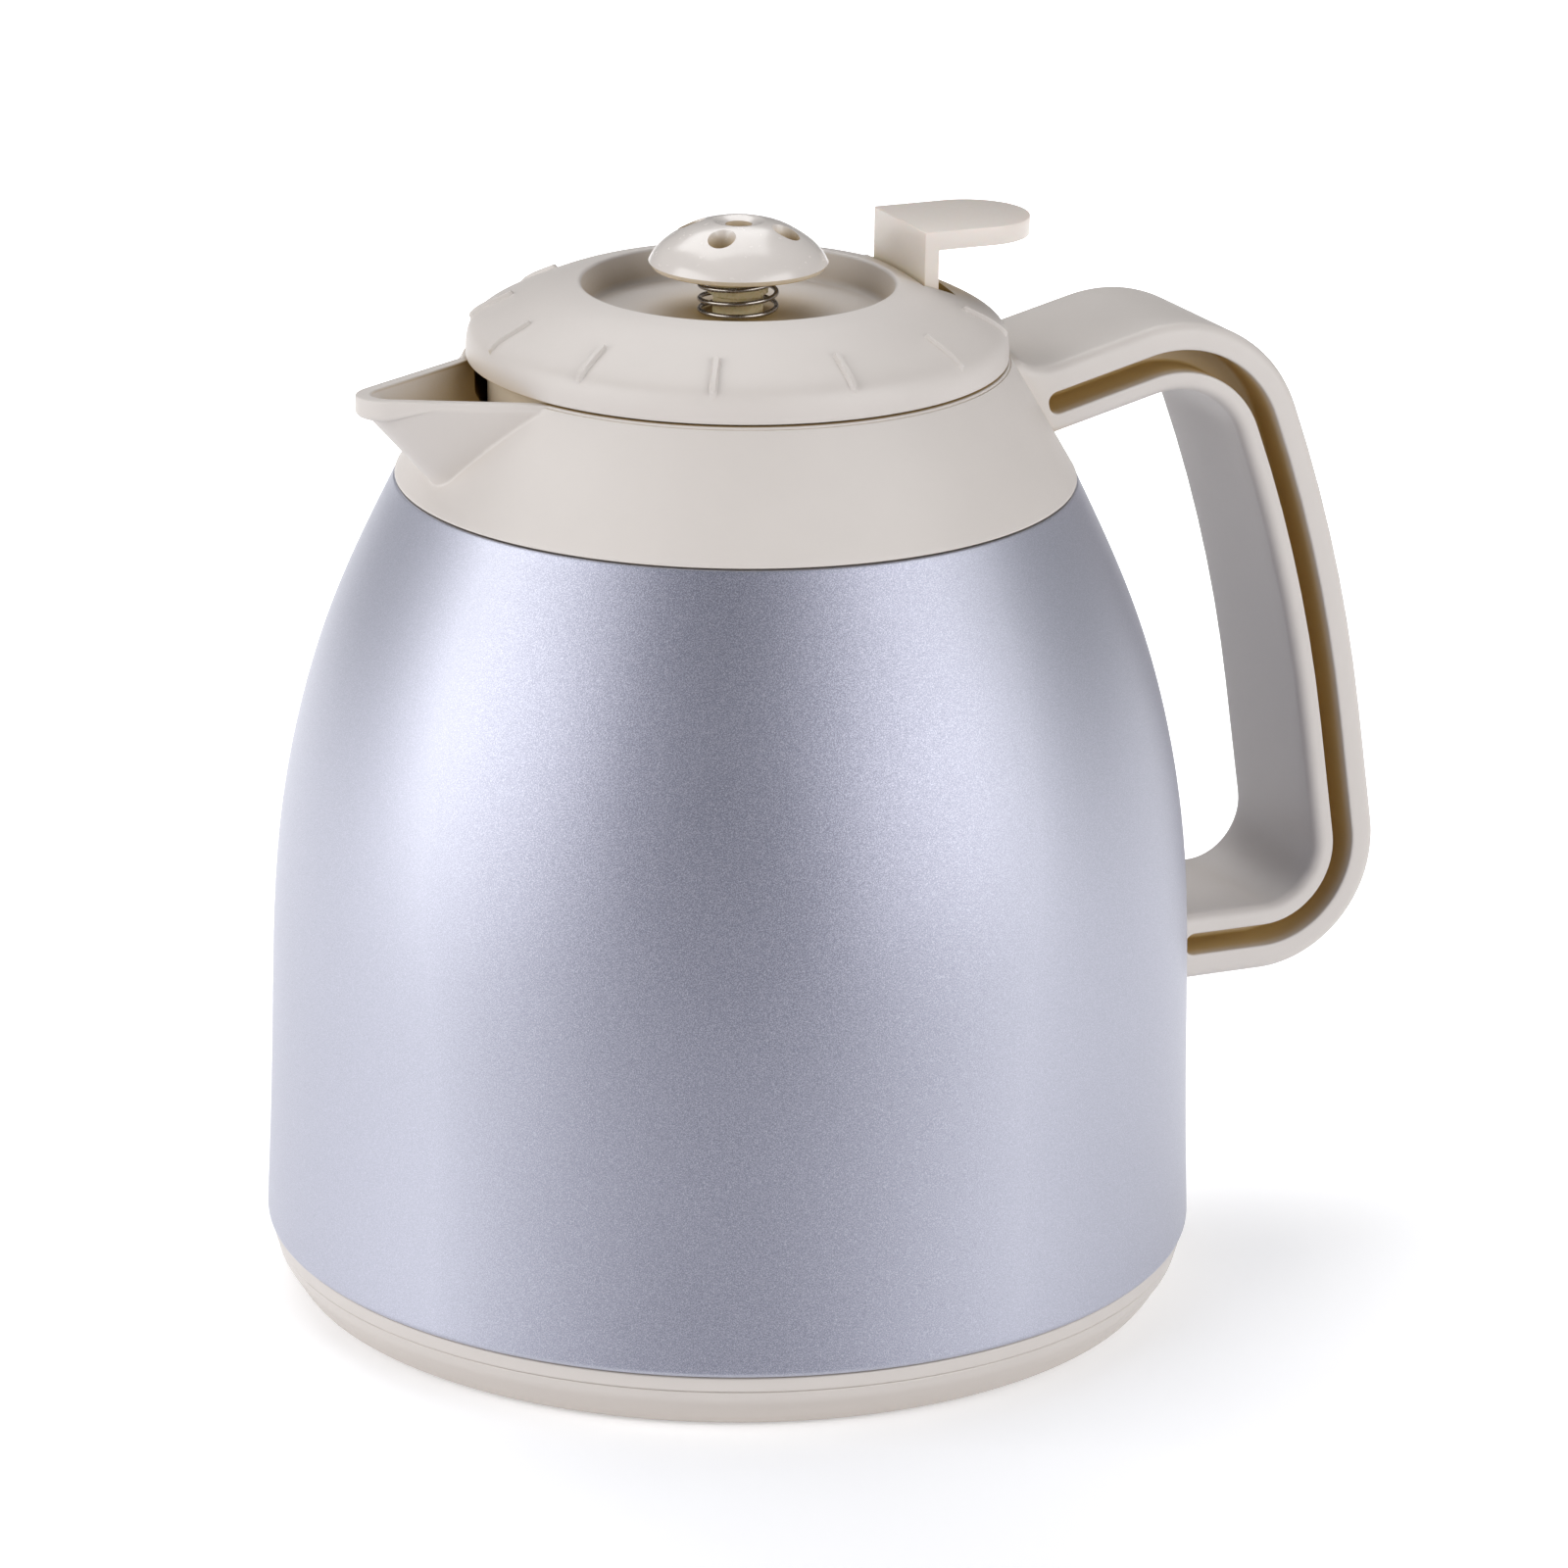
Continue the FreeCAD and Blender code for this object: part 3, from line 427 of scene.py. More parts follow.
class Finish:
    """A Principled material and the few nodes that the finishes below have in common."""

    def __init__(self, name, **sockets):
        self.material = bpy.data.materials.new(name)
        self.material.use_nodes = True
        self.tree = self.material.node_tree
        self.shader = self.tree.nodes["Principled BSDF"]
        for socket, value in sockets.items():
            self.shader.inputs[socket.replace("_", " ")].default_value = value
        self.place = self.tree.nodes.new("ShaderNodeTexCoord").outputs["Object"]

    def link(self, output, socket):
        self.tree.links.new(output, self.shader.inputs[socket])

    def noise(self, grain_mm, detail=2.0, roughness=0.5):
        """Noise whose features are about grain_mm across."""
        node = self.tree.nodes.new("ShaderNodeTexNoise")
        node.inputs["Scale"].default_value = 1 / (grain_mm * MM)
        node.inputs["Detail"].default_value = detail
        node.inputs["Roughness"].default_value = roughness
        self.tree.links.new(self.place, node.inputs["Vector"])
        return node.outputs["Fac"]

    def spread(self, value, low, high, start=0.3, end=0.7):
        """Maps start..end of a value to low..high."""
        node = self.tree.nodes.new("ShaderNodeMapRange")
        node.inputs["From Min"].default_value = start
        node.inputs["From Max"].default_value = end
        node.inputs["To Min"].default_value = low
        node.inputs["To Max"].default_value = high
        self.tree.links.new(value, node.inputs["Value"])
        return node.outputs["Result"]

    def blend(self, value, first, second):
        """Colour between first and second by a value from 0 to 1."""
        node = self.tree.nodes.new("ShaderNodeMix")
        node.data_type = "RGBA"
        self.tree.links.new(value, node.inputs["Factor"])
        for socket, colour in (("A", first), ("B", second)):
            target = next(s for s in node.inputs if s.name == socket and s.type == "RGBA")
            if isinstance(colour, tuple):
                target.default_value = (*colour, 1)
            else:
                self.tree.links.new(colour, target)
        return next(s for s in node.outputs if s.type == "RGBA")

    def bump(self, height, depth_mm, strength=1.0):
        """Normal bent by a height of about depth_mm."""
        node = self.tree.nodes.new("ShaderNodeBump")
        node.inputs["Strength"].default_value = strength
        node.inputs["Distance"].default_value = depth_mm * MM
        self.tree.links.new(height, node.inputs["Height"])
        return node.outputs["Normal"]

    def shelter(self, reach_mm):
        """1 where the surface is open and 0 deep in a gap of about reach_mm."""
        node = self.tree.nodes.new("ShaderNodeAmbientOcclusion")
        node.samples = 8
        node.inputs["Distance"].default_value = reach_mm * MM
        return node.outputs["AO"]


def shade_of(colour, share):
    """A colour made darker or lighter."""
    return tuple(part * share for part in colour)


def moulded_plastic(name, colour, gap_shade, roughness, grain_mm, depth_mm, **sockets):
    """Moulded plastic: fine spark-eroded grain, faint mottling, and painted shade, darker and warmer, in gaps and
    hollows.
    """
    finish = Finish(name, **sockets)
    mottled = finish.blend(finish.spread(finish.noise(MOTTLE_GRAIN, 3.0), 0, 1),
                           shade_of(colour, 0.985), shade_of(colour, 1.012))
    # Painted shade: where ambient occlusion finds the surface hemmed in, the colour turns to the gap colour.
    unshaded_share = finish.spread(finish.shelter(GAP_REACH), 0, 1, 0.1, 0.66)
    finish.link(finish.blend(unshaded_share, gap_shade, mottled), "Base Color")
    grain = finish.noise(grain_mm, 3.0, 0.6)
    finish.link(finish.spread(grain, roughness - 0.04, roughness + 0.04), "Roughness")
    finish.link(finish.bump(grain, depth_mm), "Normal")
    return finish.material


def shell_paint():
    """Pearl paint: a satin blue-grey base full of fine flakes under a thin clear coat."""
    finish = Finish("shell_paint", Metallic=0.85, Coat_Weight=0.3, Coat_Roughness=0.35)
    flakes = finish.noise(0.16, 1.0, 0.4)
    clouds = finish.noise(30.0, 2.0)
    turned = finish.tree.nodes.new("ShaderNodeLayerWeight").outputs["Facing"]
    pearl = finish.blend(finish.spread(turned, 0, 1, 0.03, 0.28), PEARL_FACING, PEARL_TURNED)
    base = finish.blend(finish.spread(clouds, 0, 0.06), pearl, PEARL_CLOUD)
    flecked = finish.blend(finish.spread(flakes, 0, 0.35, 0.4, 0.8), base, PEARL_FLAKE)
    finish.link(flecked, "Base Color")
    finish.link(finish.spread(finish.noise(0.3, 2.0), 0.47, 0.55), "Roughness")
    finish.link(finish.bump(flakes, 0.010, 0.5), "Normal")
    return finish.material


def metal(name, colour, roughness, grain_mm):
    """Bare metal with a faint grain in its tone, gloss and surface."""
    finish = Finish(name, Metallic=1.0)
    grain = finish.noise(grain_mm, 3.0, 0.6)
    finish.link(finish.blend(finish.spread(grain, 0, 1), shade_of(colour, 0.85), colour),
                "Base Color")
    finish.link(finish.spread(grain, roughness * 0.8, roughness * 1.25), "Roughness")
    finish.link(finish.bump(grain, 0.006), "Normal")
    return finish.material


def soft_material(name, colour, roughness, grain_mm, depth_mm, **sockets):
    """Rubber, silicone or felt with a fine uneven surface."""
    finish = Finish(name, **sockets)
    grain = finish.noise(grain_mm, 4.0, 0.6)
    finish.link(finish.blend(finish.spread(grain, 0, 1), shade_of(colour, 0.9), colour),
                "Base Color")
    finish.link(finish.spread(grain, roughness - 0.06, roughness + 0.06), "Roughness")
    finish.link(finish.bump(grain, depth_mm), "Normal")
    return finish.material


materials = {
    "shell_paint": shell_paint(),
    # The second colour given to each moulded plastic is its painted shade for gaps and hollows.
    "body_plastic": moulded_plastic("body_plastic", IVORY, IVORY_GAP_SHADE, 0.50, 0.45, 0.012),
    "lid_plastic": moulded_plastic("lid_plastic", LID_IVORY, IVORY_GAP_SHADE, 0.50, 0.45, 0.014),
    "plug_plastic": moulded_plastic("plug_plastic", (0.58, 0.54, 0.50), (0.56, 0.47, 0.34),
                                    0.40, 0.6, 0.006),
    "base_plastic": moulded_plastic("base_plastic", IVORY, (0.43, 0.385, 0.35), 0.36, 0.7, 0.004),
    "knob_plastic": moulded_plastic("knob_plastic", (0.530, 0.495, 0.472), (0.5, 0.36, 0.16),
                                    0.24, 1.2, 0.003, Coat_Weight=0.25, Coat_Roughness=0.12),
    "lever_plastic": moulded_plastic("lever_plastic", (0.575, 0.525, 0.485), HONEY_GAP_SHADE,
                                     0.34, 0.9, 0.004, Subsurface_Weight=0.12, Subsurface_Scale=0.002),
    "stem_plastic": moulded_plastic("stem_plastic", (0.66, 0.61, 0.51), HONEY_GAP_SHADE,
                                    0.28, 0.9, 0.003, Subsurface_Weight=0.15, Subsurface_Scale=0.002),
    "spring_steel": metal("spring_steel", (0.40, 0.37, 0.34), 0.24, 0.25),
    "plain_steel": metal("plain_steel", (0.62, 0.62, 0.63), 0.32, 0.4),
    "silvered_glass": metal("silvered_glass", (0.86, 0.87, 0.88), 0.10, 8.0),
    "clear_silicone": soft_material("clear_silicone", (0.78, 0.78, 0.75), 0.42, 0.8, 0.006,
                                    Subsurface_Weight=0.2, Subsurface_Scale=0.003),
    "foot_rubber": soft_material("foot_rubber", (0.66, 0.63, 0.58), 0.62, 0.6, 0.012),
    "cushion_rubber": soft_material("cushion_rubber", (0.06, 0.06, 0.06), 0.6, 0.8, 0.02),
    "spacer_felt": soft_material("spacer_felt", (0.70, 0.66, 0.58), 0.9, 0.5, 0.06,
                                 Sheen_Weight=0.3),
}


# ------------------------------------------------------------------ body and base

def cone_r(z):
    """Outer radius of the collar's cone at height z."""
    share = (z - COLLAR_LOW_Z) / (COLLAR_TOP_Z - COLLAR_LOW_Z)
    return COLLAR_LOW_R + share * (COLLAR_TOP_R - COLLAR_LOW_R)


def make_shell():
    """Sheet-metal body: the painted curve, a flange under the collar and a hem at the foot."""
    outside = smooth_curve(SHELL_CURVE, 110)
    inside = (outside - normals_of(outside) * SHELL_WALL)[::-1]
    top_r, top_z = outside[-1]
    under_top_z = shell_high.z - SHELL_WALL
    over = rounded([(top_r, top_z, 0), (top_r - 0.4, shell_high.z, SHELL_TOP_ROUND),
                    (SHELL_FLANGE_R, shell_high.z, 0), (SHELL_FLANGE_R, under_top_z, 0),
                    (top_r - 1.4, under_top_z, 0)])
    low_r = outside[0][0]
    hem_z = shell_low.z + SHELL_WALL
    under = rounded([(low_r - 1.0, hem_z, 0), (SHELL_HEM_R, hem_z, 0),
                     (SHELL_HEM_R, shell_low.z, 0), (low_r, shell_low.z, SHELL_FOOT_ROUND),
                     (low_r, SHELL_FOOT_Z, 0)])
    skin = lathe("shell_skin", np.vstack([outside, over[1:], inside[:-1], under[:-1]]), 320)
    place(skin, "jug", ["outer_shell"], "shell_paint")


def make_base():
    """Lip under the shell, the base cap that screws into it, and the rubber foot ring."""
    ring = rounded([(BASE_R, BASE_LIP_Z, 0.35), (70.9, BASE_LIP_Z, 0.2), (70.9, THREAD_WALL_Z, 0.3),
                    (69.2, THREAD_WALL_Z, 0.3), (69.2, BASE_LIP_Z, 0.2), (65.0, BASE_LIP_Z, 0),
                    (65.0, THREAD_WALL_Z, 0.3), (63.1, THREAD_WALL_Z, 0.3), (63.1, BASE_SPLIT_Z, 0),
                    (BASE_R, BASE_SPLIT_Z, 0.3)])
    place(lathe("base_lip", ring, 320), "jug", ["base_ring"], "base_plastic")

    side = smooth_curve([(BASE_R - 0.3, BASE_SPLIT_Z - 0.45), (73.3, 5.3), (72.4, 3.9), (71.3, 2.1),
                         (70.5, 1.0)], 22)
    shoulder = rounded([(70.9, BASE_SPLIT_Z - 0.05, 0), (BASE_R - 0.25, BASE_SPLIT_Z - 0.05, 0.3),
                        (BASE_R - 0.3, BASE_SPLIT_Z - 0.75, 0)])
    floor = rounded([(69.9, cap_low.z, 0.5), (66.4, cap_low.z, 0.2), (66.0, 1.6, 0), (60.0, 1.6, 0),
                     (59.6, 0.8, 0.4), (0.0, 0.8, 0), (0.0, 3.0, 0), (61.0, 3.0, 1.0),
                     (61.0, cap_high.z, 0.4), (63.0, cap_high.z, 0.4), (63.0, 3.4, 0.3),
                     (69.5, 3.4, 0)])
    cap = lathe("base_shell", np.vstack([shoulder[:-1], side, floor[1:]]), 320)
    place(cap, "jug", ["base_cap"], "base_plastic")

    tread = [(foot_high.x, 0.6, 0.3), (foot_high.x - 0.5, 0.0, 0.4)]
    for index in range(FOOT_GROOVE_COUNT):
        groove = foot_high.x - 1.7 - FOOT_GROOVE_STEP * index
        tread += [(groove + 0.3, 0.0, 0.1), (groove, 0.45, 0.1), (groove - 0.3, 0.0, 0.1)]
    tread += [(60.7, 0.0, 0.4), (60.2, 0.6, 0.3), (60.2, 1.6, 0), (foot_high.x, 1.6, 0)]
    foot = lathe("foot_tread", rounded(tread, 3), 256)
    place(foot, "jug", ["foot_ring"], "foot_rubber")


# ------------------------------------------------------------------ collar

def wedge_r(turn, z, wall=0.0, tip_x=SPOUT_TIP_X):
    """Distance from the Z axis to the spout's side at a turn from -X, or to wall mm inside it."""
    sk, ck = math.sin(SPOUT_KEEL), math.cos(SPOUT_KEEL)
    nose = SPOUT_NOSE_R - wall
    side, front = abs(math.sin(turn)), math.cos(turn)
    reach = -tip_x * sk - (COLLAR_TOP_Z - z) * ck - wall
    slope = 1 / math.tan(SPOUT_HALF)
    touch = nose * (1 - math.sin(SPOUT_HALF))
    flat = (reach - touch + nose * math.cos(SPOUT_HALF) * slope) / (side * slope + front * sk)
    lead = nose - reach
    a, b, c = (front * sk) ** 2 + side ** 2, front * sk * lead, lead ** 2 - nose ** 2
    root = b * b - a * c
    curved = (-b + np.sqrt(np.maximum(root, 0))) / a
    return np.where((root > 0) & (curved * side <= nose * math.cos(SPOUT_HALF)), curved, flat)


def collar_profile(angle):
    """The collar's closed outline in the half plane at an angle about Z."""
    turn = angle % (2 * math.pi) - math.pi
    if abs(turn) > SPOUT_TURN:
        turn = SPOUT_TURN
    rim_r = max(cone_r(COLLAR_TOP_Z), float(wedge_r(turn, np.array(COLLAR_TOP_Z))))
    lip_z = COLLAR_TOP_Z - 0.4
    if rim_r > cone_r(COLLAR_TOP_Z) + 0.5:
        climb = max(0.0, -rim_r * math.cos(turn) - LIP_START_X) * LIP_SLOPE
        lip_z = min(lip_z, COLLAR_TOP_Z - LIP_HEIGHT + climb)
    low = COLLAR_EDGE_Z + (lip_z - COLLAR_EDGE_Z) * np.linspace(0, 1, 60)
    cone, wedge = cone_r(low), np.minimum(wedge_r(turn, low, 0.0, KEEL_TIP_X), rim_r)
    outside = np.column_stack([0.5 * (cone + wedge + np.sqrt((cone - wedge) ** 2 + BLEND ** 2)),
                               low])
    step = max(0.0, rim_r - outside[-1][0])
    under = min(0.9, step * 0.6, (COLLAR_TOP_Z - 0.4 - lip_z) * 0.6)
    lip = rounded([(outside[-1][0], lip_z, 0), (rim_r, lip_z, max(under, 1e-4)),
                   (rim_r, RIM_Z, 0)], 5)[1:]
    high = np.linspace(RIM_Z, SPOUT_FLOOR_Z, 56)
    neck = np.interp(
        high, [SPOUT_FLOOR_Z, NECK_STEP_Z, NECK_STEP_Z + NECK_STEP_HEIGHT, COLLAR_TOP_Z],
        [NECK_R, NECK_R, NECK_TOP_R, NECK_TOP_R])
    channel = np.where(abs(turn) < CHANNEL_TURN, wedge_r(turn, high, SPOUT_WALL), 0)
    inside = np.column_stack([np.maximum(neck, channel), high])
    rim = rounded([(rim_r, RIM_Z, 0), (rim_r, COLLAR_TOP_Z, RIM_OUT_ROUND),
                   (inside[0][0], COLLAR_TOP_Z, RIM_IN_ROUND), (inside[0][0], RIM_Z, 0)], 5)[1:-1]
    sleeve = NECK_R + NECK_WALL
    hollow_z = SPOUT_FLOOR_Z - SPOUT_WALL if abs(turn) < FLOOR_TURN else HOLLOW_TOP_Z
    foot_z = COLLAR_LOW_Z - 0.15
    hidden = rounded([(NECK_R, SPOUT_FLOOR_Z - 0.01, 0), (NECK_R, LEDGE_Z, 0.6),
                      (LEDGE_IN_R, LEDGE_Z, 0.5), (LEDGE_IN_R, LEDGE_Z - LEDGE_T, 0.5),
                      (sleeve, LEDGE_Z - LEDGE_T, 0.5), (sleeve, hollow_z, 0),
                      (SKIRT_IN_R, 136.6, 0), (SKIRT_IN_R, collar_low.z, 0.2),
                      (SKIRT_OUT_R, collar_low.z, 0.2), (SKIRT_OUT_R, foot_z, 0),
                      (COLLAR_LOW_R, foot_z, 0.2),
                      (cone_r(COLLAR_EDGE_Z), COLLAR_EDGE_Z, 0)], 4)[:-1]
    return np.vstack([outside, lip, rim, inside, hidden])


def make_collar():
    """Neck cone with the spout, in planes that are closer together round the spout and its nose."""
    angles = set(np.round(np.linspace(0, 360, 241)[:-1], 4))
    for reach, step in ((52, 0.4), (9, 0.2)):
        angles |= set(np.round(np.arange(180 - reach, 180 + reach + 0.001, step), 4))
    rings = [(math.radians(a), collar_profile(math.radians(a))) for a in sorted(angles)]
    collar = turned_rings("collar_moulding", rings, 40.0)
    place(collar, "jug", ["collar"], "body_plastic")


# ------------------------------------------------------------------ handle

def handle_path():
    """Points and directions along the handle's centre line, in the XZ plane."""
    corners = [np.array(p, float) for p in HANDLE_LINE]
    samples = []

    def run(start, end, steps):
        way = (end - start) / np.linalg.norm(end - start)
        for share in steps:
            samples.append((start + (end - start) * share, way))

    start = corners[0]
    for index, radius in enumerate(HANDLE_BENDS):
        corner = corners[index + 1]
        back = corners[index] - corner
        ahead = corners[index + 2] - corner
        back, ahead = back / np.linalg.norm(back), ahead / np.linalg.norm(ahead)
        half = math.acos(float(back @ ahead)) / 2
        enter = corner + back * radius / math.tan(half)
        leave = corner + ahead * radius / math.tan(half)
        run(start, enter, leg_steps(start, enter))
        centre = corner + (back + ahead) / np.linalg.norm(back + ahead) * radius / math.sin(half)
        bend = math.pi - 2 * half
        side = math.copysign(1, -back[0] * ahead[1] + back[1] * ahead[0])
        for share in np.linspace(0, 1, max(8, int(math.degrees(bend) / 3)))[:-1]:
            turn = side * bend * share
            spin = np.array([[math.cos(turn), -math.sin(turn)], [math.sin(turn), math.cos(turn)]])
            samples.append((centre + spin @ (enter - centre), spin @ -back))
        start = leave
    run(start, corners[-1], leg_steps(start, corners[-1]))
    return samples


def leg_steps(start, end):
    """Shares along a straight leg: even steps, finer at a root and round a groove's end."""
    length = float(np.linalg.norm(end - start))
    marks = set(np.linspace(0, length, max(3, int(length / 4))))
    upper = abs(start[0] - HANDLE_LINE[0][0]) < 1e-6
    lower = abs(end[0] - HANDLE_LINE[-1][0]) < 1e-6
    if upper or lower:
        end_x = GROOVE_TOP_X if upper else GROOVE_END_X
        middle = abs(end_x - start[0]) / abs(end[0] - start[0]) * length
        sign = -1 if upper else 1
        for turn in np.linspace(0, math.pi / 2, 10):
            marks.add(middle + sign * GROOVE_HALF * math.cos(turn))
        marks.add(middle + sign * (GROOVE_HALF + 1e-4))
        root = np.arange(0, 12, 0.3)
        marks |= set(root if upper else length - root)
    return [mark / length for mark in sorted(marks)]


def groove_at(point, way):
    """Half height of the groove at a point of the centre line, or None where there is none."""
    if way[0] > 0.5 and point[1] > UPPER_ARM_Z:
        past = (point[0] - GROOVE_TOP_X) / abs(way[0])
    elif way[0] < -0.5 and point[1] < LOWER_ARM_Z:
        past = (point[0] - GROOVE_END_X) / abs(way[0])
    else:
        return GROOVE_HALF
    if past < -GROOVE_HALF - 5e-5:
        return None
    return GROOVE_HALF if past >= 0 else math.sqrt(max(0.0, GROOVE_HALF ** 2 - past ** 2))


def handle_section(groove):
    """Closed (y, out) outline of the handle, with a groove of a given half height in each side."""
    half, edge = HANDLE_HALF, HANDLE_EDGE_R
    depth = half if groove is None else WEB_HALF
    groove = groove or 0.0
    lip, root = min(GROOVE_LIP_R, groove), min(GROOVE_ROOT_R, groove)
    corner = [math.radians(a) for a in np.linspace(0, 90, 8)]
    outer, inner = HANDLE_OUT - edge, -HANDLE_IN + edge
    right = [(half - edge + edge * math.sin(a), outer + edge * math.cos(a)) for a in corner]
    right += [(half, outer + (groove + lip - outer) * s) for s in (0.35, 0.7)]
    for a in corner[::2]:
        right.append((half - lip + lip * math.cos(a), groove + lip - lip * math.sin(a)))
    right += [(half - lip + (depth + root - half + lip) * s, groove) for s in (0.33, 0.66)]
    for a in corner[::2]:
        right.append((depth + root - root * math.sin(a), groove - root + root * math.cos(a)))
    if depth == half:
        right = right[:-10] + [(half, 0.0)] * 10
    lower = [(half, inner + (-groove - lip - inner) * s) for s in (0.7, 0.35)]
    low_corner = [(half - edge + edge * math.cos(a), inner - edge * math.sin(a)) for a in corner]
    groove_low = [(y, -out) for y, out in reversed(right[-10:])]
    right = right + groove_low + lower + low_corner
    across = [1 - 2 * s for s in np.linspace(0, 1, 9)[1:-1]]
    bottom = [((half - edge) * s, -HANDLE_IN) for s in across]
    left = [(-y, out) for y, out in reversed(right)]
    top = [(-(half - edge) * s, HANDLE_OUT) for s in across]
    return np.array(right + bottom + left + top)


def reach_surface(points, way, radius_at, pull):
    """Slides points along way onto a turned surface: those inside it, and those that pull picks."""
    moved = points.copy()
    for _ in range(12):
        gap = np.hypot(moved[:, 0], moved[:, 1]) - radius_at(moved[:, 2])
        rate = (moved[:, 0] * way[0]) / np.maximum(np.hypot(moved[:, 0], moved[:, 1]), 1e-6)
        shift = -gap / rate
        moved = moved + shift[:, None] * np.array((way[0], 0, way[1]))[None, :]
    away = (moved - points) @ np.array((way[0], 0, way[1]))
    inside = away > 0
    return np.where((inside | pull)[:, None], moved, points), away


def make_handle():
    """C handle: its section swept along the centre line and run into the collar and the shell."""
    shell = smooth_curve(SHELL_CURVE, 200)

    def collar_r(z):
        return cone_r(z) - ROOT_SINK

    def shell_r(z):
        return np.interp(z, shell[:, 1], shell[:, 0]) - ROOT_SINK

    rings = []
    for point, way in handle_path():
        section = handle_section(groove_at(point, way))
        out = np.array((-way[1], way[0]))
        ring = np.column_stack([point[0] + out[0] * section[:, 1], section[:, 0],
                                point[1] + out[1] * section[:, 1]])
        if way[0] > 0.5 and point[1] > UPPER_ARM_Z and point[0] < UPPER_ROOT_X:
            ring, away = reach_surface(ring, way, collar_r, np.zeros(len(ring), bool))
            past = np.maximum(0, -away)
            flare = np.clip(1 - past / ROOT_FLARE_LENGTH, 0, 1) ** 2.4
            lift = ROOT_FLARE * flare * soft_step(section[:, 1], 1.5, HANDLE_OUT)
            ring = ring + lift[:, None] * np.array((out[0], 0, out[1]))[None, :]
            ring = reach_surface(ring, way, collar_r, past <= 0)[0]
        if way[0] < -0.5 and point[1] < LOWER_ARM_Z:
            ring = reach_surface(ring, -way, shell_r, np.zeros(len(ring), bool))[0]
        rings.append(ring)
    rows, columns = len(rings), len(rings[0])
    faces = grid_faces(rows, columns, wrap_rows=False)
    faces += [tuple(range(columns)), tuple(range((rows - 1) * columns, rows * columns))]
    grip = make_object("handle_grip", rings, faces, 40.0)
    place(grip, "jug", ["handle"], "body_plastic")


# ------------------------------------------------------------------ lid

def lid_rings():
    """The crown's outline at each angle, with the grip ribs raised from it."""
    crown = smooth_curve([(LID_R, LID_EDGE_Z + 0.3)] + CROWN + [(DISH_RIM_R + 0.7, lid_high.z)],
                         100)
    outward = normals_of(crown)
    bore_r = STEM_R + 0.08
    rest = rounded([(DISH_RIM_R + 0.7, lid_high.z, 0), (DISH_RIM_R, lid_high.z, 0.6),
                    (DISH_FLOOR_R, DISH_FLOOR_Z, 1.2), (bore_r, DISH_FLOOR_Z, 0.3),
                    (bore_r, 152.0, 0.2), (6.2, 152.0, 0.3), (6.2, 157.3, 0), (25.4, 157.3, 0.5),
                    (26.5, 161.6, 0), (28.6, 161.5, 0), (33.0, 159.9, 0), (37.0, 157.9, 0),
                    (39.6, 156.2, 0), (40.9, 154.6, 0), (41.1, LID_EDGE_Z, 0.2),
                    (LID_R, LID_EDGE_Z, 0.15), (LID_R, LID_EDGE_Z + 0.3, 0)], 5)[1:-1]
    ribs = [RIB_START + RIB_STEP * k for k in range(RIB_COUNT)]
    rib_middle, rib_reach = (RIB_IN_R + RIB_OUT_R) / 2, (RIB_OUT_R - RIB_IN_R) / 2
    along = np.maximum(0, np.abs(crown[:, 0] - rib_middle) - rib_reach)
    angles = list(np.radians(np.arange(0, 360, 1.5)))
    for rib in ribs:
        angles += [(rib + math.radians(d)) % (2 * math.pi) for d in np.arange(-1.2, 1.201, 0.12)]
    rings = []
    for angle in sorted(angles):
        lift = np.zeros(len(crown))
        for rib in ribs:
            aside = crown[:, 0] * math.sin(angle - rib)
            if math.cos(angle - rib) > 0.9:
                inward = RIB_HALF + 0.1 - np.hypot(aside, along)
                lift = np.maximum(lift, soft_step(inward, 0, RIB_SIDE))
        rings.append((angle, np.vstack([crown + outward * (lift * RIB_HEIGHT)[:, None], rest])))
    return rings


def make_lid_cover():
    """Crown with its dish, the lever's slot, the spigot that holds the plug, and the pivot ears."""
    cover = turned_rings("lid_crown", lid_rings(), 40.0)
    wide = LEVER_HALF + SLOT_GAP
    slot = block("slot", (PLATE_IN_X - SLOT_GAP, -wide, 155), (SLOT_END_X, wide, 175))
    combine(cover, [slot], "DIFFERENCE")
    parts = [lathe("spigot", [(35.2, 152.6), (37.1, 152.6), (37.1, 158.6), (35.2, 158.6)], 128)]
    for sign in (-1, 1):
        near, far = sorted((sign * wide, sign * (wide + EAR_T)))
        ear = rounded([(PIVOT_X - 3, 147.6, 2.9), (PIVOT_X + 3, 147.6, 2.9),
                       (PIVOT_X + 3, 157.6, 0), (PIVOT_X - 3, 157.6, 0)], 8)
        parts.append(prism("ear", ear, near, far, axis="y"))
    combine(cover, parts, "UNION")
    shade(cover, 40.0)
    place(with_lid(cover), "lid", ["lid_cover"], "lid_plastic")


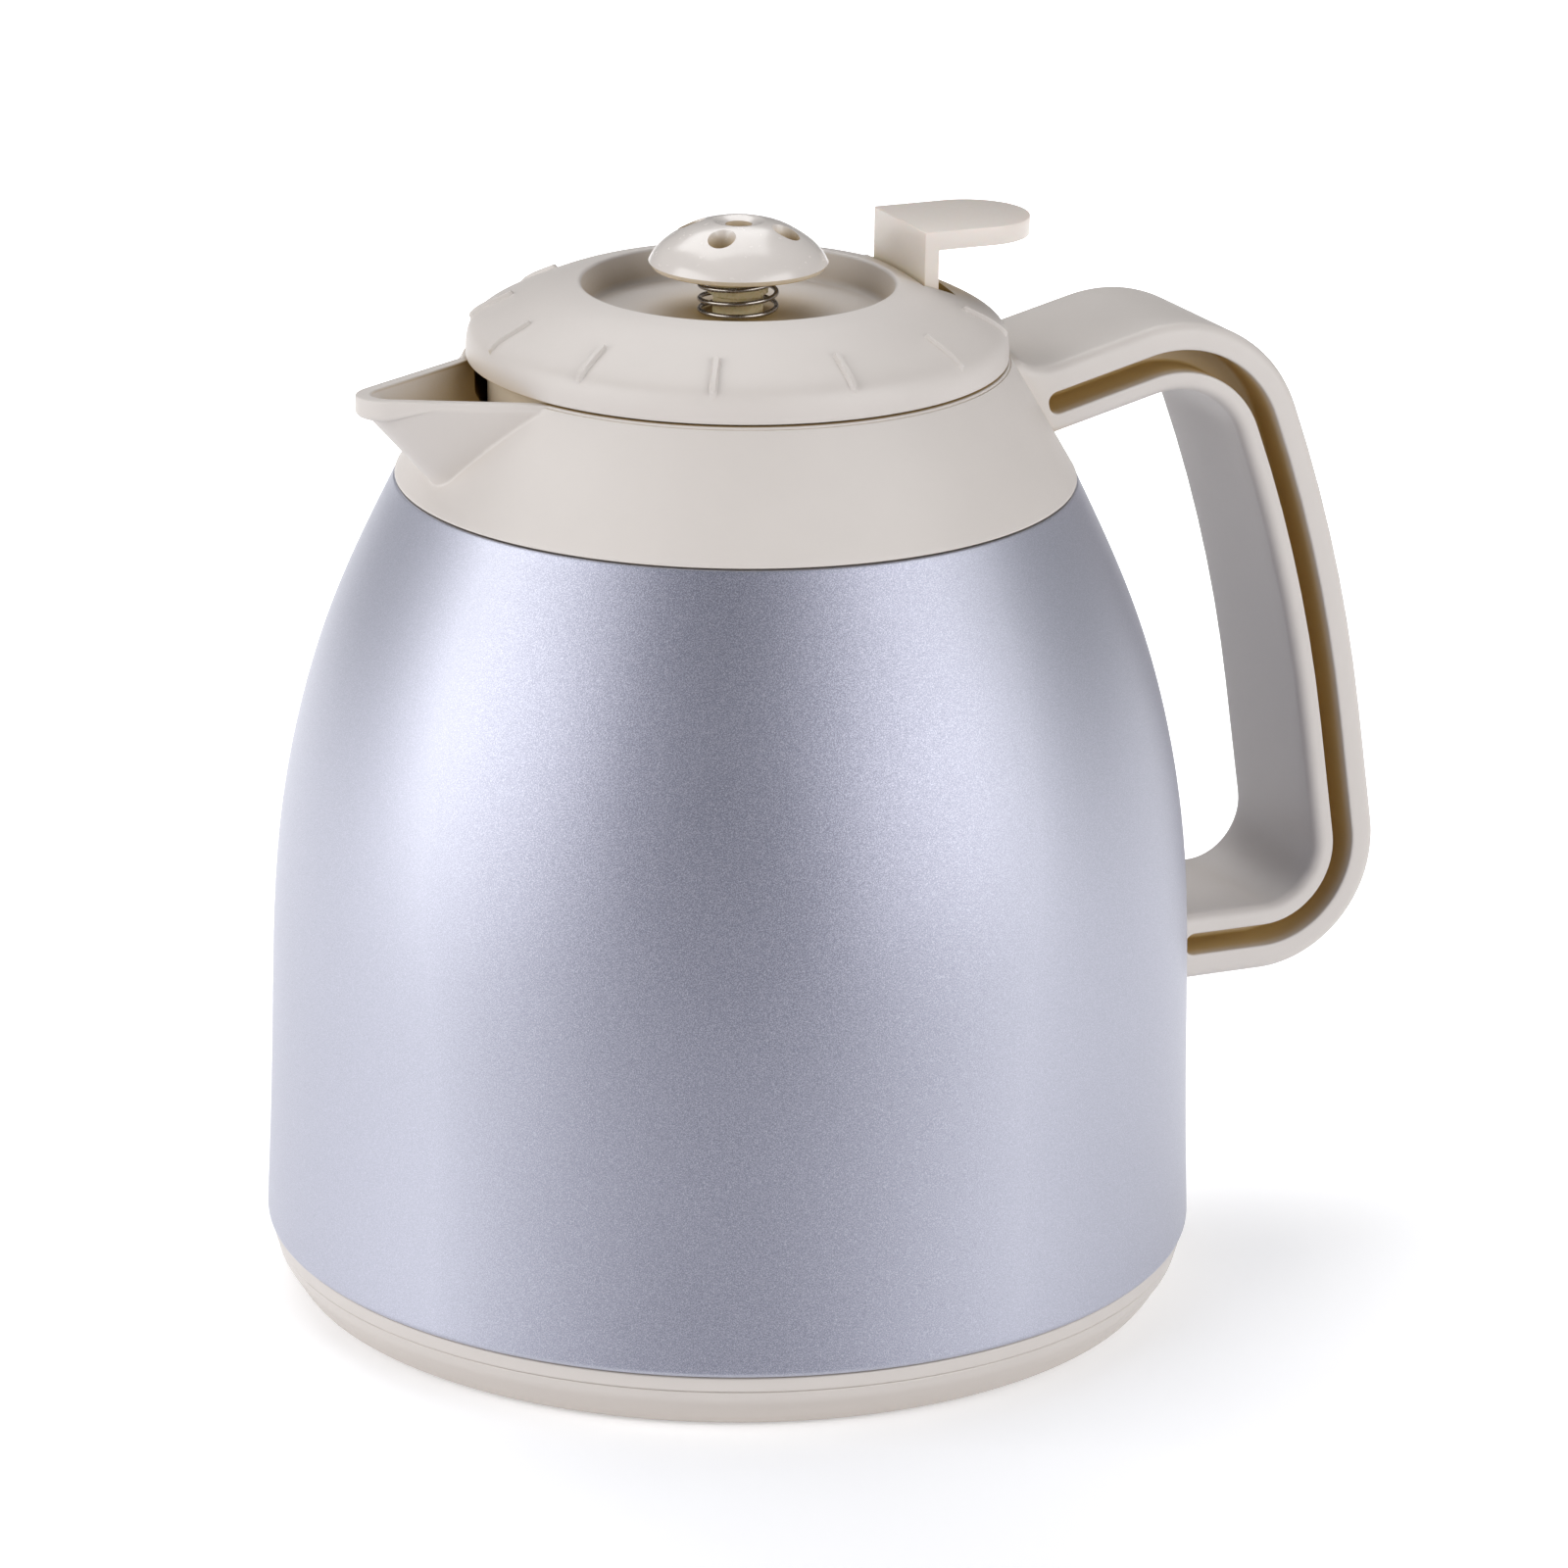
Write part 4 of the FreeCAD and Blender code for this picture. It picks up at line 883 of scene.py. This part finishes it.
def make_lid_plug():
    """Cup below the crown, with a window towards the spout that is taller on the far side."""
    floor = plug_low.z + 2.2
    inner_r = PLUG_R - PLUG_WALL
    profile = rounded([(PLUG_R, plug_low.z, 0.8), (PLUG_R, plug_high.z, 0.3),
                       (inner_r, plug_high.z, 0.3), (inner_r, floor, 0.8),
                       (PLUG_BORE_R, floor, 0.3), (PLUG_BORE_R, plug_low.z, 0.3)], 4)
    plug = lathe("lid_plug", profile, 256)
    sill = floor + 0.8
    window = rounded([(WINDOW_NEAR_Y, sill, 1.0), (WINDOW_FAR_Y, sill, 1.0),
                      (WINDOW_FAR_Y, 160.0, 0), (WINDOW_STEP_Y, 160.0, 0),
                      (WINDOW_STEP_Y, WINDOW_LOW_TOP_Z, 1.2),
                      (WINDOW_NEAR_Y, WINDOW_LOW_TOP_Z, 1.0)], 5)
    cutter = prism("window", window, 20.0, 60.0)
    cutter.data.transform(Matrix(((0, 0, -1, 0), (1, 0, 0, 0), (0, 1, 0, 0), (0, 0, 0, 1))))
    combine(plug, [cutter], "DIFFERENCE")
    shade(plug, 40.0)
    place(with_lid(plug), "lid", ["lid_body"], "lid_plastic", finish="plug_plastic")


def make_lever():
    """Pad and plate of the thumb lever, and the two tines that run under the dish to the pivot."""
    tip_x = PAD_END_X - LEVER_HALF
    arc = [(tip_x + LEVER_HALF * math.sin(t), -LEVER_HALF * math.cos(t))
           for t in np.linspace(0, math.pi, 41)]
    pad = prism("thumb_lever", [(PLATE_IN_X, -LEVER_HALF)] + arc + [(PLATE_IN_X, LEVER_HALF)],
                lever_high.z - PAD_T, lever_high.z)
    plate = block("plate", (PLATE_IN_X, -LEVER_HALF, PIVOT_Z - 1),
                  (PLATE_IN_X + PLATE_T, LEVER_HALF, lever_high.z - PAD_T / 2))
    combine(pad, [plate], "UNION")
    round_edges(pad, LEVER_ROUND, 4, 40.0)
    tines = []
    for sign in (-1, 1):
        near, far = sorted((sign * TINE_IN, sign * (LEVER_HALF - 0.01)))
        tines.append(block("arm", (PIVOT_X, near, PIVOT_Z - 0.99),
                           (PLATE_IN_X + 1, far, PIVOT_Z - 1 + TINE_HEIGHT)))
        for name, x, radius in (("bump", 0, TINE_BUMP_R), ("eye", PIVOT_X, PIVOT_EYE_R)):
            tines.append(prism(name, circle(x, PIVOT_Z, radius), near - 0.01, far + 0.01, axis="y"))
    combine(pad, tines, "UNION")
    bore = prism("bore", circle(PIVOT_X, PIVOT_Z, PIVOT_HOLE_R), -20, 20, axis="y")
    combine(pad, [bore], "DIFFERENCE")
    shade(pad, 40.0)
    place(with_lid(pad), "lever", ["pour_lever"], "lever_plastic")


# ------------------------------------------------------------------ valve

def make_knob():
    """Mushroom knob with a dimple, a ring of drip holes and a socket for the stem."""
    top = knob_high.z
    rim = (KNOB_R, 167.7)
    dome = smooth_curve([rim, (13.5, 168.8), (12.0, 170.5), (10.0, 171.95), (7.5, 173.3),
                         (5.2, 174.0), (KNOB_DIMPLE_R, top)], 60)
    dimple = [(KNOB_DIMPLE_R - 2.1 * s, top - 0.6 * s ** 1.5) for s in np.linspace(0.12, 1, 8)]
    under = rounded([(2.1, 171.4, 0.4), (0.0, 171.4, 0), (0.0, KNOB_CEILING_Z, 0),
                     (5.6, KNOB_CEILING_Z, 0.3), (5.6, 168.6, 0.3), (7.2, 168.6, 0.3),
                     (7.6, KNOB_CEILING_Z, 0.5), (10.2, 169.6, 1.0), (12.7, knob_low.z, 0.3),
                     (13.6, knob_low.z, 0.6), (*rim, 0)], 5)[:-1]
    knob = lathe("brew_button", np.vstack([dome, dimple, under]), 192)
    holes, centres = [], []
    for index in range(KNOB_HOLE_COUNT):
        turn = KNOB_HOLE_START + index * 2 * math.pi / KNOB_HOLE_COUNT
        x, y = KNOB_HOLE_RING * math.cos(turn), KNOB_HOLE_RING * math.sin(turn)
        centres.append(Vector((x, y)))
        holes.append(prism("hole", circle(x, y, KNOB_HOLE_R, 64), 160, 180))
    combine(knob, holes, "DIFFERENCE")

    def on_hole(middle):
        across = Vector((middle.x, middle.y))
        return any(abs((across - centre).length - KNOB_HOLE_R) < 0.08 for centre in centres)

    round_edges(knob, 0.3, 3, 25.0, on_hole)
    shade(knob, 50.0)
    place(with_lid(knob), "valve", ["brew_knob"], "knob_plastic")


def make_stem():
    """Round stem with a flange for the lever, and an eight-sided post inside the spring."""
    outline = rounded([(0, stem_low.z, 0), (STEM_R, stem_low.z, 0.2),
                       (STEM_R, STEM_FLANGE_LOW_Z, 0), (STEM_FLANGE_R, STEM_FLANGE_LOW_Z, 0.5),
                       (STEM_FLANGE_R, STEM_FLANGE_TOP_Z, 0.5), (STEM_R, STEM_FLANGE_TOP_Z, 0.4),
                       (STEM_R, 163.0, 0), (0, 163.0, 0)], 4)
    shaft = lathe("stem_shaft", outline, 96)
    corner_r = STEM_WIDE / 2 / math.cos(math.pi / 8)
    turns = [math.radians(22.5 + 45 * i) for i in range(8)]
    post = prism("stem_post", [(corner_r * math.cos(t), corner_r * math.sin(t)) for t in turns],
                 STEM_STEP_Z, stem_high.z)
    round_edges(post, 0.25, 3)
    combine(post, [shaft], "UNION")
    shade(post, 30.0)
    place(with_lid(post), "valve", ["valve_stem"], "stem_plastic")


def make_spring():
    """Round-wire spring: a flat dead coil at each end and open turns between."""
    sides, steps = 12, 220
    low, high = spring_low.z + SPRING_WIRE_R, spring_high.z - SPRING_WIRE_R
    points = []
    for i in range(steps + 1):
        turned = SPRING_TURNS * i / steps
        share = np.clip((turned - SPRING_DEAD_TURNS) / (SPRING_TURNS - 2 * SPRING_DEAD_TURNS), 0, 1)
        first_end = min(turned, SPRING_DEAD_TURNS) / SPRING_DEAD_TURNS
        last_end = max(0.0, turned - SPRING_TURNS + SPRING_DEAD_TURNS) / SPRING_DEAD_TURNS
        z = (low + SPRING_DEAD_RISE * (first_end + last_end)
             + (high - low - 2 * SPRING_DEAD_RISE) * share)
        angle = 2 * math.pi * turned + 0.6
        for j in range(sides):
            around = 2 * math.pi * j / sides
            r = SPRING_R + SPRING_WIRE_R * math.cos(around)
            points.append((r * math.cos(angle), r * math.sin(angle),
                           z + SPRING_WIRE_R * math.sin(around)))
    faces = grid_faces(steps + 1, sides, wrap_rows=False)
    faces += [tuple(range(sides)), tuple(range(steps * sides, (steps + 1) * sides))]
    spring = make_object("return_spring", points, faces, 60.0)
    place(spring, "valve", ["knob_spring"], "spring_steel")
    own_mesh(spring)


def dress_cad_nodes():
    """The CAD nodes that stay in view take their material slot's finish."""
    slots = {row["node"]: row["material_slot"] for row in frame["record"]["subparts"]}
    for name, node in frame["nodes"].items():
        node.data.materials.clear()
        node.data.materials.append(materials[slots[name]])


# ------------------------------------------------------------------ stage

VIEW_TURN = math.radians(26.0)
VIEW_RISE = math.radians(18.338)
VIEW_ROLL = math.radians(0.799)
VIEW_DISTANCE = 1.11348
VIEW_TARGET = Vector((7.45, -3.63, 81.5)) * MM
LENS = 159.354
SENSOR_WIDTH = 36.0
LIGHT_AIM = Vector((0, 0, 0.09))
FLOOR_R = 6000
FLOOR_T = 4.0
FLOOR_DARK = (0.78, 0.78, 0.795)
FLOOR_LIGHT = (0.795, 0.795, 0.81)
FLOOR_GLOW = 0.95
WHITE = (1.0, 1.0, 1.0, 1.0)

# Level directions from the jug: towards the camera, and to the camera's right
toward = Vector((-math.sin(VIEW_TURN), -math.cos(VIEW_TURN), 0))
rightward = Vector((math.cos(VIEW_TURN), -math.sin(VIEW_TURN), 0))


def make_camera():
    """Camera at the photograph's distance, turn, rise and slight roll."""
    data = bpy.data.cameras.new("camera")
    data.lens = LENS
    data.sensor_width = SENSOR_WIDTH
    data.clip_start, data.clip_end = 0.05, 30.0
    camera = bpy.data.objects.new("camera", data)
    bpy.context.scene.collection.objects.link(camera)
    back = toward * math.cos(VIEW_RISE) + Vector((0, 0, math.sin(VIEW_RISE)))
    above = back.cross(rightward)
    across = math.cos(VIEW_ROLL) * rightward + math.sin(VIEW_ROLL) * above
    upright = back.cross(across)
    camera.matrix_world = Matrix.Translation(VIEW_TARGET + back * VIEW_DISTANCE) @ Matrix(
        (across, upright, back)).transposed().to_4x4()
    bpy.context.scene.camera = camera


def softbox(name, side_deg, rise_deg, distance, width, height, power):
    """Area light at an angle to the camera's side, aimed at the jug."""
    data = bpy.data.lights.new(name, "AREA")
    data.shape = "RECTANGLE"
    data.size, data.size_y = width, height
    data.energy = power
    light = bpy.data.objects.new(name, data)
    bpy.context.scene.collection.objects.link(light)
    side, rise = math.radians(side_deg), math.radians(rise_deg)
    level = toward * math.cos(side) + rightward * math.sin(side)
    way = level * math.cos(rise) + Vector((0, 0, math.sin(rise)))
    light.location = LIGHT_AIM + way * distance
    light.rotation_mode = "QUATERNION"
    light.rotation_quaternion = way.to_track_quat("Z", "Y")


def floor_white():
    """Matt white floor that glows behind the jug and far out, like an evenly lit backdrop."""
    finish = Finish("floor_white", Roughness=0.85, Specular_IOR_Level=0.2, Emission_Color=WHITE)
    grain = finish.noise(60.0, 2.0)
    behind = finish.tree.nodes.new("ShaderNodeVectorMath")
    behind.operation = "DOT_PRODUCT"
    behind.inputs[1].default_value = -toward
    away = finish.tree.nodes.new("ShaderNodeVectorMath")
    away.operation = "LENGTH"
    glow = finish.tree.nodes.new("ShaderNodeMath")
    glow.operation = "MAXIMUM"
    for index, (node, start, end) in enumerate(((behind, -0.28, 0.4), (away, 1.0, 2.2))):
        finish.tree.links.new(finish.place, node.inputs[0])
        strength = finish.spread(node.outputs["Value"], 0.0, FLOOR_GLOW, start, end)
        finish.tree.links.new(strength, glow.inputs[index])
    finish.link(glow.outputs["Value"], "Emission Strength")
    finish.link(finish.blend(finish.spread(grain, 0, 1), FLOOR_DARK, FLOOR_LIGHT), "Base Color")
    return finish.material


def make_stage():
    """Pale floor, dim white surroundings and three softboxes."""
    floor = prism("floor", circle(0, 0, FLOOR_R, 96), -FLOOR_T, 0.0)
    floor.data.materials.append(floor_white())
    world = bpy.data.worlds.new("studio")
    world.use_nodes = True
    world.node_tree.nodes["Background"].inputs["Color"].default_value = WHITE
    world.node_tree.nodes["Background"].inputs["Strength"].default_value = 0.06
    bpy.context.scene.world = world
    bpy.context.scene.view_settings.view_transform = "Standard"
    softbox("left_softbox", side_deg=-63, rise_deg=17, distance=2.2,
            width=2.4, height=2.0, power=60.0)
    softbox("right_softbox", side_deg=52, rise_deg=17, distance=2.2,
            width=2.0, height=2.0, power=52.0)
    softbox("top_softbox", side_deg=-165, rise_deg=62, distance=1.3,
            width=1.1, height=1.1, power=12.5)


make_camera()
make_stage()
make_shell()
make_base()
make_collar()
make_handle()
make_lid_cover()
make_lid_plug()
make_lever()
make_knob()
make_stem()
make_spring()
dress_cad_nodes()
